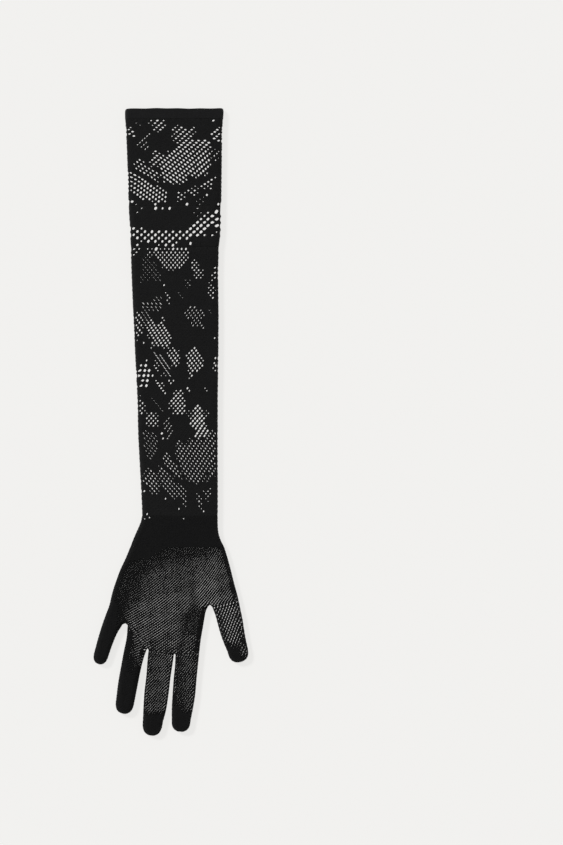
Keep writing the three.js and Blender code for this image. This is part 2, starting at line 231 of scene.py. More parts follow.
# %% Folds of the hand and the small webs between the fingers
HAND_LEFT = [(-33.5, -103.3), (-37.2, -112.4), (-41.8, -122.3), (-45.5, -132.3), (-48.7, -142.3),
             (-51.0, -152.0), (-54.6, -161.4)]
HAND_RIGHT = [(24.0, -190.2), (25.2, -180.0), (27.0, -169.8), (28.3, -162.0), (29.6, -156.0),
              (31.3, -152.6)]
THUMB_RIGHT = [(56.5, -147.3), (55.2, -142.3), (52.5, -132.3), (50.0, -122.3), (47.3, -112.4),
               (44.5, -103.3)]
WEBS = {
    "little_ring": [(-39.6, -167.9), (-37.6, -166.9), (-35.7, -168.2)],
    "ring_middle": [(-19.7, -188.7), (-19.0, -187.7), (-18.4, -188.9)],
    "middle_index": [(2.8, -193.0), (3.35, -192.0), (3.9, -193.0)],
    "index_thumb": [(31.3, -152.6), (32.6, -151.6), (34.0, -152.9)],
}

# %% [markdown]
# ## Outlines
#
# Every stage of the knitting is a closed outline walked anticlockwise. Each edge is either a
# fold, where the fabric turns over to the lower side, or an open end, where the tube goes on
# into the next stage.

# %% Outlines from folds and open ends
Outline = namedtuple("Outline", "points fold")


def outline_of(stretches):
    """Joins stretches (curve, is it a fold) end to end into one closed outline. The edge that
    leaves a point belongs to the stretch that the point starts."""
    points = np.vstack([curve[:-1] for curve, _ in stretches])
    fold = np.concatenate([np.full(len(curve) - 1, folded) for curve, folded in stretches])
    return Outline(points, fold)


def straight(start, end):
    """A straight open end from one point to the next."""
    return np.array([start, end], dtype=float)


def tube_outline(high, low):
    """A stretch of the sleeve: down the left fold, across, up the right fold and back."""
    down, up = between(low, high)
    return outline_of([
        (down, True),
        (straight(down[-1], up[0]), False),
        (up, True),
        (straight(up[-1], down[0]), False),
    ])


def finger_outline(finger):
    """A finger: round its fold, and back along its root."""
    sides = finger_sides(finger)
    return outline_of([(sides, True), (straight(sides[-1], sides[0]), False)])


def root_line(finger):
    """The open end in the hand that a finger grows from, from its left to its right fold."""
    row = finger.rows[0]
    return straight((row.left_x, row.left_y), (row.right_x, row.right_y))


def hand_outline():
    """The hand: from the left of the wrist down, along the roots and webs, and up again."""
    little, ring, middle, index, thumb = FINGERS
    wrist_left, wrist_right = HAND_LEFT[0], THUMB_RIGHT[-1]
    return outline_of([
        (through(HAND_LEFT), True),
        (root_line(little), False),
        (np.array(WEBS["little_ring"]), True),
        (root_line(ring), False),
        (np.array(WEBS["ring_middle"]), True),
        (root_line(middle), False),
        (np.array(WEBS["middle_index"]), True),
        (root_line(index), False),
        (through(HAND_RIGHT), True),
        (np.array(WEBS["index_thumb"]), True),
        (root_line(thumb), False),
        (through(THUMB_RIGHT), True),
        (straight(wrist_right, wrist_left), False),
    ])


OUTLINES = {
    "top_hem": tube_outline(MOUTH, HEM_END),
    "lace_fan": tube_outline(HEM_END, FAN_END),
    "lace_band": tube_outline(FAN_END, BAND_END),
    "lace_flowers": tube_outline(BAND_END, FLOWERS_END),
    "lace_leaves": tube_outline(FLOWERS_END, LACE_END),
    "wrist_band": tube_outline(LACE_END, WRIST_END),
    "hand": hand_outline(),
}
OUTLINES.update({finger.name: finger_outline(finger) for finger in FINGERS})
print("outline points:", {name: len(line.points) for name, line in OUTLINES.items()})

# %% [markdown]
# ## Height from the distance to the fold
#
# How high the fabric lies depends only on how far it is from the nearest fold: it rises in a
# tight round turn at the fold, then hardly any more. With one rule for the whole glove, the
# stages meet at the same height, and small valleys form between the fingers by themselves.

# %% The folds of the whole glove as straight pieces
fold_starts = np.vstack([line.points[line.fold] for line in OUTLINES.values()])
fold_ends = np.vstack([np.roll(line.points, -1, axis=0)[line.fold] for line in OUTLINES.values()])
CHUNK = 3000


def nearest(points, starts, ends):
    """Closest place on a set of straight pieces: each point is dropped on every piece, held
    between its ends, and the shortest drop wins. Gives the distance, the place and the piece.
    The points are taken in parts of about CHUNK, so that the arrays stay small."""
    run = ends - starts
    square = np.maximum((run**2).sum(axis=1), TINY**2)
    gaps, places, picks = [], [], []
    for part in np.array_split(points, len(points) // CHUNK + 1):
        away = part[:, None, :] - starts
        share = np.clip((away * run).sum(axis=2) / square, 0.0, 1.0)
        spots = starts + share[..., None] * run
        gap = np.sqrt(((part[:, None, :] - spots) ** 2).sum(axis=2))
        pick = gap.argmin(axis=1)
        rows = np.arange(len(part))
        gaps.append(gap[rows, pick])
        places.append(spots[rows, pick])
        picks.append(pick)
    return np.concatenate(gaps), np.vstack(places), np.concatenate(picks)


# %% Height of the upper and the lower side
FOLD_LEVEL = 2.6
FOLD_REACH = 3.6
FOLD_ROUNDNESS = 2.2
TOP = 6.7
CROWN = 0.8
CROWN_REACH = 34.0
WAVE_FADE = (2.0, 14.0)
Waves = namedtuple("Waves", "height first second")
CLOTH_WAVES = Waves(height=0.22, first=(11.0, 23.0), second=(-29.0, 17.0))


def smooth(value, low, high):
    """0 below low, 1 above high, and 3t^2 - 2t^3 between."""
    t = np.clip((value - low) / (high - low), 0.0, 1.0)
    return t * t * (3 - 2 * t)


def turn_over(distance):
    """Rise of the round fold: (1 - (1 - d/reach)^n)^(1/n), from 0 at the fold to 1."""
    share = 1 - np.clip(distance / FOLD_REACH, 0.0, 1.0)
    return (1 - share**FOLD_ROUNDNESS) ** (1 / FOLD_ROUNDNESS)


def turn_back(rise):
    """Distance at which the round fold has risen so far: turn_over solved for d."""
    return FOLD_REACH * (1 - (1 - np.abs(rise) ** FOLD_ROUNDNESS) ** (1 / FOLD_ROUNDNESS))


def waves(kind, x, y):
    """Slow uneven waves: height * sin(x / a + y / b) * sin(x / c + y / d), with a and b the
    first pair of lengths, and c and d the second."""
    a, b = kind.first
    c, d = kind.second
    return kind.height * np.sin(x / a + y / b) * np.sin(x / c + y / d)


def calm_height(distance):
    """The upper side without waves: fold level, plus the round turn, plus a faint crown."""
    crown = CROWN * smooth(distance, 0.0, CROWN_REACH)
    return FOLD_LEVEL + (TOP - FOLD_LEVEL) * turn_over(distance) + crown


def upper_height(distance, xy):
    """The upper side: the calm height plus waves in the cloth, which fade at the folds."""
    return calm_height(distance) + waves(CLOTH_WAVES, *xy.T) * smooth(distance, *WAVE_FADE)


def lower_height(distance):
    """The lower side: the round turn down from the fold level to the surface it lies on."""
    return FOLD_LEVEL * (1 - turn_over(distance))


print("height at the fold and inside:", FOLD_LEVEL, round(TOP + CROWN, 1), "mm")

# %% [markdown]
# ## A net of cells
#
# Net and lace are a staggered grid of six-sided cells. In an open cell the yarn is a frame
# round a hole, in a dense cell the frame is filled. The cells are laid out as whole arrays in
# columns u and rows w, which turn into arcs where a stage widens like a fan. Corners that
# neighbours share are merged, and corners on the border are drawn onto the outline.

# %% The cell and the layout of its columns and rows
Net = namedtuple("Net", "origin heading radius pitch row hole_long hole_short sway")
Cell = namedtuple("Cell", "corners squareness room inset nearness")
BLUNT = 0.2
CELL_HEIGHT = 2 - 2 * BLUNT
FINE_CELL = Cell(np.array([
    (0.5, BLUNT), (0.0, 1 - BLUNT), (-0.5, BLUNT), (-0.5, -BLUNT), (0.0, BLUNT - 1), (0.5, -BLUNT),
]), squareness=4.0, room=0.92, inset=0.6, nearness=0.32)
LACE_CELL = Cell(np.array([
    (0.5, BLUNT), (0.25, 0.5), (0.0, 1 - BLUNT), (-0.25, 0.5), (-0.5, BLUNT),
    (-0.5, -BLUNT), (-0.25, -0.5), (0.0, BLUNT - 1), (0.25, -0.5), (0.5, -BLUNT),
]), squareness=2.4, room=0.84, inset=1.1, nearness=0.42)

# How many pixels the rows of the lace are pushed to the right, and at which level of the chart
SWAY = from_chart([
    (0, 108), (25, 178), (22, 206), (22, 280), (20, 310), (11, 350), (4, 390), (3, 425), (18, 485),
    (18, 520),
])[::-1]


def place(net, uw):
    """Place of column u and row w: the net's heading is turned by u * pitch / radius round a
    far centre, and the point lies w rows short of the radius along it. Where a net sways, its
    rows are pushed sideways, as pulled lace is, by the distances charted in SWAY."""
    angle = uw[..., 0] * net.pitch / net.radius
    reach = net.radius - uw[..., 1] * net.row
    ahead = np.array([np.cos(net.heading), np.sin(net.heading)])
    centre = np.array(net.origin) - ahead * net.radius
    x = centre[0] + reach * (ahead[0] * np.cos(angle) - ahead[1] * np.sin(angle))
    y = centre[1] + reach * (ahead[0] * np.sin(angle) + ahead[1] * np.cos(angle))
    return np.stack([x + net.sway * np.interp(y, SWAY[:, 1], SWAY[:, 0] - SWAY[-1, 0]), y], axis=-1)


def inside(points, outline):
    """Even-odd rule: a point is inside if a line to its right crosses the outline oddly."""
    a = outline.points
    b = np.roll(a, -1, axis=0)
    x, y = points[:, 0:1], points[:, 1:2]
    spans = (a[:, 1] > y) != (b[:, 1] > y)
    rise = np.where(b[:, 1] == a[:, 1], 1.0, b[:, 1] - a[:, 1])
    crossing = (b[:, 0] - a[:, 0]) * (y - a[:, 1]) / rise + a[:, 0]
    return (spans & (x < crossing)).sum(axis=1) % 2 == 1


SHARPEST = 0.6


def inset_outline(outline, inset):
    """Moves fold points inwards by the inset, and the ends of a fold along the open end. At a
    bend the step is (m + n) / (1 + m . n), with m and n the inward directions on both sides
    of it, and SHARPEST keeps it short where the bend is sharp."""
    points = outline.points
    run = np.roll(points, -1, axis=0) - points
    run = run / np.hypot(*run.T)[:, None]
    inward = np.column_stack([-run[:, 1], run[:, 0]])
    before, back = np.roll(outline.fold, 1), np.roll(inward, 1, axis=0)
    both = (inward + back) / np.maximum(1 + (inward * back).sum(axis=1), SHARPEST)[:, None]
    shift = np.where((outline.fold & before)[:, None], both, 0.0)
    shift = np.where((outline.fold & ~before)[:, None], -np.roll(run, 1, axis=0), shift)
    shift = np.where((~outline.fold & before)[:, None], run, shift)
    return points + shift * inset


def cells_in(net, outline, cell):
    """Centres (u, w) of the cells whose middle lies well inside the outline: the cell's inset
    from the fold, and its nearness times its size."""
    across = np.hypot(*(outline.points - net.origin).T).max()
    columns = 2 * int(across / net.pitch)
    rows = int(across / net.row) + 2
    u, w = np.meshgrid(np.arange(-columns, columns + 1.0), np.arange(-rows, rows + 1.0))
    uw = np.column_stack([(u + 0.5 * (w % 2)).ravel(), w.ravel()])
    spots = place(net, uw)
    within = inside(spots, outline)
    uw, spots = uw[within], spots[within]
    inner = inset_outline(outline, cell.inset)
    gap, _, _ = nearest(spots, inner, np.roll(inner, -1, axis=0))
    well_in = gap > cell.nearness * min(net.pitch, CELL_HEIGHT * net.row)
    return uw[well_in & inside(spots, Outline(inner, outline.fold))]


# %% Merging shared corners and drawing the border onto the outline
def single_edges(first, second, count):
    """Picks the directed edges that no other face shares, by counting each pair of ends."""
    low, high = np.minimum(first, second), np.maximum(first, second)
    _, where, times = np.unique(low * np.int64(count) + high, return_inverse=True,
                                return_counts=True)
    return times[where] == 1


Grid = namedtuple("Grid", "centres corners cells uw on_fold edges owners stretch")
SHARP = np.cos(np.radians(50))
MOST_STRETCHED = 1.25
KEYS_PER_CELL = 20


def sharp_turns(outline):
    """Places in the outline that must keep a corner: the ends of folds and the sharp bends."""
    run = np.roll(outline.points, -1, axis=0) - outline.points
    run = run / np.hypot(*run.T)[:, None]
    bend = (run * np.roll(run, 1, axis=0)).sum(axis=1)
    return np.flatnonzero((outline.fold != np.roll(outline.fold, 1)) | (bend < SHARP))


def cell_areas(corners, cells):
    """Area of each cell: half the sum of x1 * y2 - x2 * y1 over its sides."""
    here = corners[cells]
    ahead = np.roll(here, -1, axis=1)
    return np.abs((here[..., 0] * ahead[..., 1] - ahead[..., 0] * here[..., 1]).sum(axis=1)) / 2


def walk_round(edges, start):
    """Border corners in the order they are met: the links lead one step on, and each time the
    known part of the walk is doubled, links of links lead twice as far."""
    link = np.zeros(edges.max() + 1, dtype=int)
    link[edges[:, 0]] = edges[:, 1]
    walk = np.array([start])
    while len(walk) < len(edges):
        walk = np.concatenate([walk, link[walk]])
        link = link[link]
    return walk[:len(edges)]


def onto_outline(corners, edges, outline, inner):
    """Draws the border corners onto the inner outline. Each goes to its nearest place, measured
    as a length along the outline from a calm place far from all sharp turns. Sorted, the
    lengths follow the walk, so no corners cross, and the nearest one is put on each turn."""
    ends = np.roll(inner, -1, axis=0)
    walked = np.concatenate([[0.0], np.hypot(*(ends - inner).T).cumsum()])
    _, spots, on = nearest(corners[edges[:, 0]], inner, ends)
    at = walked[on] + np.hypot(*(spots - inner[on]).T)
    turns = walked[sharp_turns(outline)]
    apart = np.abs(at[:, None] - turns)
    calm = np.minimum(apart, walked[-1] - apart).min(axis=1).argmax()
    walk = walk_round(edges, edges[calm, 0])
    length_of = np.zeros(len(corners))
    length_of[edges[:, 0]] = (at - at[calm]) % walked[-1]
    along = np.sort(length_of[walk])
    taken = np.zeros(len(walk), dtype=bool)
    for turn in (turns - at[calm]) % walked[-1]:
        pick = np.where(taken, np.inf, np.abs(along - turn)).argmin()
        along[pick] = turn
        taken[pick] = True
    along = (np.sort(along) + at[calm]) % walked[-1]
    closed = np.vstack([inner, inner[:1]])
    corners[walk] = np.column_stack([np.interp(along, walked, closed[:, 0]),
                                     np.interp(along, walked, closed[:, 1])])


def lay_grid(net, outline, cell):
    """Corners of all cells, merged where neighbours share them, the border drawn onto the
    outline, for each border edge whether it lies on a fold, and how much each cell grew."""
    centres = cells_in(net, outline, cell)
    loose = centres[:, None, :] + cell.corners
    keys = np.round(loose.reshape(-1, 2) * KEYS_PER_CELL).astype(np.int64)
    _, first, index = np.unique(keys, axis=0, return_index=True, return_inverse=True)
    uw = loose.reshape(-1, 2)[first]
    cells = index.reshape(len(centres), len(cell.corners))
    corners = place(net, uw)
    a, b = cells.ravel(), np.roll(cells, -1, axis=1).ravel()
    regular = cell_areas(corners, cells)
    lone = single_edges(a, b, len(uw))
    edges = np.column_stack([a[lone], b[lone]])
    owners = np.flatnonzero(lone) // len(cell.corners)
    inner = inset_outline(outline, cell.inset)
    onto_outline(corners, edges, outline, inner)
    middle = (corners[edges[:, 0]] + corners[edges[:, 1]]) / 2
    _, _, side = nearest(middle, inner, np.roll(inner, -1, axis=0))
    stretch = np.clip(np.sqrt(cell_areas(corners, cells) / regular), 1.0, MOST_STRETCHED)
    return Grid(centres, corners, cells, uw, outline.fold[side], edges, owners, stretch)


# %% [markdown]
# ## Thickness
#
# The net is first a smooth skin with holes in it: the upper side, the lower side and a band
# round each fold. The yarn gets its body by moving a copy of the skin inwards and closing
# every rim. Towards a hole the skin dips and thins, so each bar of the net is rounded.

# %% From a skin to a body of yarn
Skin = namedtuple("Skin", "points faces dip thickness")
LOWEST_INSIDE = 0.02


def vertex_normals(points, faces):
    """Sum of the normals of the faces round each corner, made one long. A face's normal is
    the cross product of its diagonals."""
    total = np.zeros_like(points)
    for block in faces:
        third = block.shape[1] // 2
        one = points[block[:, third]] - points[block[:, 0]]
        two = points[block[:, -1]] - points[block[:, third - 1]]
        normal = np.cross(one, two)
        for axis in range(3):
            sums = np.bincount(block.ravel(), np.repeat(normal[:, axis], block.shape[1]),
                               minlength=len(points))
            total[:, axis] += sums
    return total / np.maximum(np.linalg.norm(total, axis=1), NO_LENGTH)[:, None]


def give_body(skin):
    """Outer skin, a reversed copy moved inwards by the thickness, and a wall along every
    edge that only one face of the skin uses: hole rims and open ends."""
    normals = vertex_normals(skin.points, skin.faces)
    outer = skin.points - normals * skin.dip[:, None]
    inner = outer - normals * skin.thickness[:, None]
    outer[:, 2] = np.maximum(outer[:, 2], 0.0)
    inner[:, 2] = np.maximum(inner[:, 2], LOWEST_INSIDE)
    count = len(outer)
    first = np.concatenate([block.ravel() for block in skin.faces])
    second = np.concatenate([np.roll(block, -1, axis=1).ravel() for block in skin.faces])
    lone = single_edges(first, second, count)
    a, b = first[lone], second[lone]
    walls = np.column_stack([b, a, a + count, b + count])
    reversed_faces = [block[:, ::-1] + count for block in skin.faces]
    return np.vstack([outer, inner]), [*skin.faces, *reversed_faces, walls]


def make_mesh(name, points, faces):
    """Puts points in mm and blocks of equal-sided faces into a mesh object, in metres. Gives
    the object and its number of triangles."""
    mesh = bpy.data.meshes.new(name)
    mesh.vertices.add(len(points))
    mesh.vertices.foreach_set("co", (points * MM).astype(np.float32).ravel())
    sides = np.concatenate([np.full(len(block), block.shape[1]) for block in faces])
    loops = np.concatenate([block.ravel() for block in faces]).astype(np.int32)
    mesh.loops.add(len(loops))
    mesh.loops.foreach_set("vertex_index", loops)
    mesh.polygons.add(len(sides))
    starts = np.concatenate([[0], sides.cumsum()[:-1]]).astype(np.int32)
    mesh.polygons.foreach_set("loop_start", starts)
    mesh.polygons.foreach_set("use_smooth", np.ones(len(sides), dtype=bool))
    mesh.update(calc_edges=True)
    mesh.validate()
    piece = bpy.data.objects.new(name, mesh)
    bpy.context.scene.collection.objects.link(piece)
    return piece, int((sides - 2).sum())


# %% [markdown]
# ## Knitting one stage
#
# A stage is knitted twice, once for the upper and once for the lower side. The lower side may
# slip a little against the upper one, as two layers of net always do: where the bars of both
# fall on each other the holes stay open, and where they cross the net looks dense or streaky.
# At the folds and at the dense seams both sides are held together, so the slip fades there.

# %% Where the two sides are held together
def across_at(y):
    """The line straight across the sleeve at a level, from fold to fold."""
    left, right = folds_at(y)
    return straight((left, y), (right, y))


seams = np.stack([across_at(y) for y in (HEM_END, LACE_END, WRIST_END)]
                 + [root_line(finger) for finger in FINGERS])
held_starts = np.vstack([fold_starts, seams[:, 0]])
held_ends = np.vstack([fold_ends, seams[:, 1]])
SLIP_FADE = (1.1, 1.8)


def lower_side(spots, uw, net, slip):
    """Where the lower side lies: each spot is slipped by part of a cell, except where the sides
    are held together. Then it moves outwards by (spot - camera) * height between the sides /
    height of the camera, so that seen from there its holes lie under those of the upper side.
    At the hem nothing moves."""
    slipped = place(net, uw + np.array(slip)) - place(net, uw)
    held_gap, _, _ = nearest(spots, held_starts, held_ends)
    fold_gap, _, _ = nearest(spots, fold_starts, fold_ends)
    apart = upper_height(fold_gap, spots) - lower_height(fold_gap)
    seen = (spots - camera_spot) * (apart / CAMERA_HEIGHT)[:, None]
    below_hem = smooth(HEM_END - spots[:, 1], *SLIP_FADE)
    return spots + slipped * smooth(held_gap, *SLIP_FADE)[:, None] + seen * below_hem[:, None]


# %% Holes
RIM_THICKNESS = 0.4
FOLD_RIM = 0.1
RIM_FADE = (0.8, 3.6)
RIM_DIP = 0.2
FILL_SHARE = 0.5
FILL_DIP = 0.2
BAR_THICKNESS = 0.85

# Size of the hole against the net's own, 0 where it is filled, its lean in degrees, and its
# share of the full width on the upper and on the lower side
Stitch = namedtuple("Stitch", "size lean above below")


def room_in(spokes, ways):
    """How far a ray from a cell's middle runs before it meets the cell's rim: for each side
    the ray's length is the cross product of corner and side over that of ray and side."""
    sides = np.roll(spokes, -1, axis=1) - spokes
    area = spokes[..., 0] * sides[..., 1] - spokes[..., 1] * sides[..., 0]
    facing = ways[:, :, None, 0] * sides[:, None, :, 1] - ways[:, :, None, 1] * sides[:, None, :, 0]
    length = area[:, None, :] / np.where(facing > TINY, facing, TINY)
    return np.where(facing > TINY, length, np.inf).min(axis=2)


def squared(wave, squareness):
    """Sine or cosine of a superellipse: its sign times its size to the power 2 / n."""
    return np.sign(wave) * np.abs(wave) ** (2 / squareness)


def hole_ring(corners, grid, cell, net, stitch, middle, share):
    """Points round each cell's hole: a superellipse as long as the net's hole along the
    stitch's lean and as wide across it, times a share, held inside the cell. Dense cells get a
    ring halfway to their corners."""
    turned = net.heading + np.pi / 2 + grid.centres[:, 0] * net.pitch / net.radius
    lean = np.radians(stitch.lean)[:, None]
    step = np.arctan2(cell.corners[:, 1] * net.row, cell.corners[:, 0] * net.pitch)
    size = stitch.size * grid.stretch
    along = squared(np.cos(step - lean), cell.squareness) * net.hole_long * size[:, None]
    aside = squared(np.sin(step - lean), cell.squareness) * net.hole_short
    aside = aside * (size * share)[:, None]
    angle = lean + turned[:, None]
    offset = np.stack([along * np.cos(angle) - aside * np.sin(angle),
                       along * np.sin(angle) + aside * np.cos(angle)], axis=-1)
    length = np.maximum(np.hypot(offset[..., 0], offset[..., 1]), TINY)
    spokes = corners[grid.cells] - middle[:, None, :]
    room = room_in(spokes, offset / length[..., None])
    offset = offset * np.minimum(1.0, cell.room * room / length)[..., None]
    dense = (stitch.size <= 0)[:, None, None]
    return middle[:, None, :] + np.where(dense, spokes * FILL_SHARE, offset)


# %% The band round a fold
FOLD_STEPS = 6
OPEN_FOLD = 0.5
NOTCH = 0.25
DEEPEST_NOTCH = 1.05


def notches(grid, stitch, net):
    """How far the fold is drawn in at each corner: corners within one cell's side are drawn
    in, most where the cell is open, corners between two cells are not. A mean that counts each
    corner twice and its two neighbours once rounds the course off."""
    start, end = grid.edges.T
    count = len(grid.corners)
    after = np.arange(count)
    before = np.arange(count)
    after[start] = end
    before[end] = start
    leaving = np.full(count, -1)
    coming = np.full(count, -2)
    leaving[start] = grid.owners
    coming[end] = grid.owners
    size = stitch.size[leaving]
    deep = np.where(size > OPEN_FOLD, np.minimum(net.hole_short * size, DEEPEST_NOTCH), NOTCH)
    depth = np.where(leaving == coming, deep, 0.0)
    return 0.5 * depth + 0.25 * (depth[after] + depth[before])


def fold_band(grid, notch, upper, upper_fold, lower, count):
    """Rows of points that carry the upper side round the fold to the lower one, and the faces
    between them. At the share s of the way from 1 above to -1 below, the point is as far from
    the fold as the round turn is at that rise, plus notch * (1 - s^2)."""
    folded, place_in = np.unique(grid.edges[grid.on_fold], return_inverse=True)
    place_in = place_in.reshape(-1, 2)
    spread = np.linspace(1.0, -1.0, FOLD_STEPS + 1)[1:-1, None]
    start, foot = upper[folded], upper_fold[folded]
    away = start[:, :2] - foot
    width = np.maximum(np.hypot(*away.T), TINY)
    share = turn_back(spread * turn_over(width)) / width
    drawn = notch[folded] * (1 - spread**2) / width
    plan = foot + away * np.minimum(share + drawn, 1.0)[..., None]
    above = FOLD_LEVEL + (start[:, 2] - FOLD_LEVEL) * spread
    below = FOLD_LEVEL + (FOLD_LEVEL - lower[folded][:, 2]) * spread
    turn = np.concatenate([plan, np.where(spread > 0, above, below)[..., None]], axis=2)
    new = 2 * count + np.arange(turn.shape[0] * turn.shape[1]).reshape(turn.shape[:2])
    chain = np.concatenate([folded[None], new, folded[None] + count])
    a, b = chain[:, place_in[:, 0]], chain[:, place_in[:, 1]]
    faces = np.stack([b[:-1], a[:-1], a[1:], b[1:]], axis=-1).reshape(-1, 4)
    return turn.reshape(-1, 3), faces


# %% Knit a stage
def knit(name, net, cell, stitch_of, slip=(0.0, 0.0)):
    """Both sides of a stage and the band round its folds, as one body. stitch_of gives the
    stitch of each cell from the place of its middle and from its column and row."""
    grid = lay_grid(net, OUTLINES[name], cell)
    cells = grid.cells
    middle = grid.corners[cells].mean(axis=1)
    stitch = stitch_of(middle, grid.centres)
    lower_corners = lower_side(grid.corners, grid.uw, net, slip)
    lower_middle = lower_side(middle, grid.centres, net, slip)
    upper_ring = hole_ring(grid.corners, grid, cell, net, stitch, middle, stitch.above)
    lower_ring = hole_ring(lower_corners, grid, cell, net, stitch, lower_middle, stitch.below)
    upper_xy = np.vstack([grid.corners, upper_ring.reshape(-1, 2)])
    lower_xy = np.vstack([lower_corners, lower_ring.reshape(-1, 2)])
    upper_gap, upper_fold, _ = nearest(upper_xy, fold_starts, fold_ends)
    lower_gap, _, _ = nearest(lower_xy, fold_starts, fold_ends)
    upper = np.column_stack([upper_xy, upper_height(upper_gap, upper_xy)])
    lower = np.column_stack([lower_xy, lower_height(lower_gap)])
    count = len(upper)
    ring = len(grid.corners) + np.arange(cells.size).reshape(cells.shape)
    frames = np.stack([cells, np.roll(cells, -1, axis=1), np.roll(ring, -1, axis=1), ring],
                      axis=-1).reshape(-1, 4)
    fills = ring[stitch.size <= 0]
    turn, turn_faces = fold_band(grid, notches(grid, stitch, net), upper, upper_fold, lower, count)
    filled = np.repeat(stitch.size <= 0, cells.shape[1])
    corner_count = len(grid.corners)
    dip = np.concatenate([np.zeros(corner_count), np.where(filled, FILL_DIP, RIM_DIP)])
    rim = FOLD_RIM + (1 - FOLD_RIM) * smooth(upper_gap[corner_count:], *RIM_FADE)
    body = np.concatenate([np.full(corner_count, BAR_THICKNESS),
                           np.where(filled, BAR_THICKNESS, RIM_THICKNESS * rim)])
    skin = Skin(
        np.vstack([upper, lower, turn]),
        [frames, fills, frames[:, ::-1] + count, fills[:, ::-1] + count, turn_faces],
        np.concatenate([dip, dip, np.zeros(len(turn))]),
        np.concatenate([body, body, np.full(len(turn), BAR_THICKNESS)]),
    )
    piece, triangles = make_mesh(name + "_knit", *give_body(skin))
    opened = int((stitch.size > 0).sum())
    print(f"{name}: {len(cells)} cells a side, {opened} open, {triangles} triangles")
    return piece
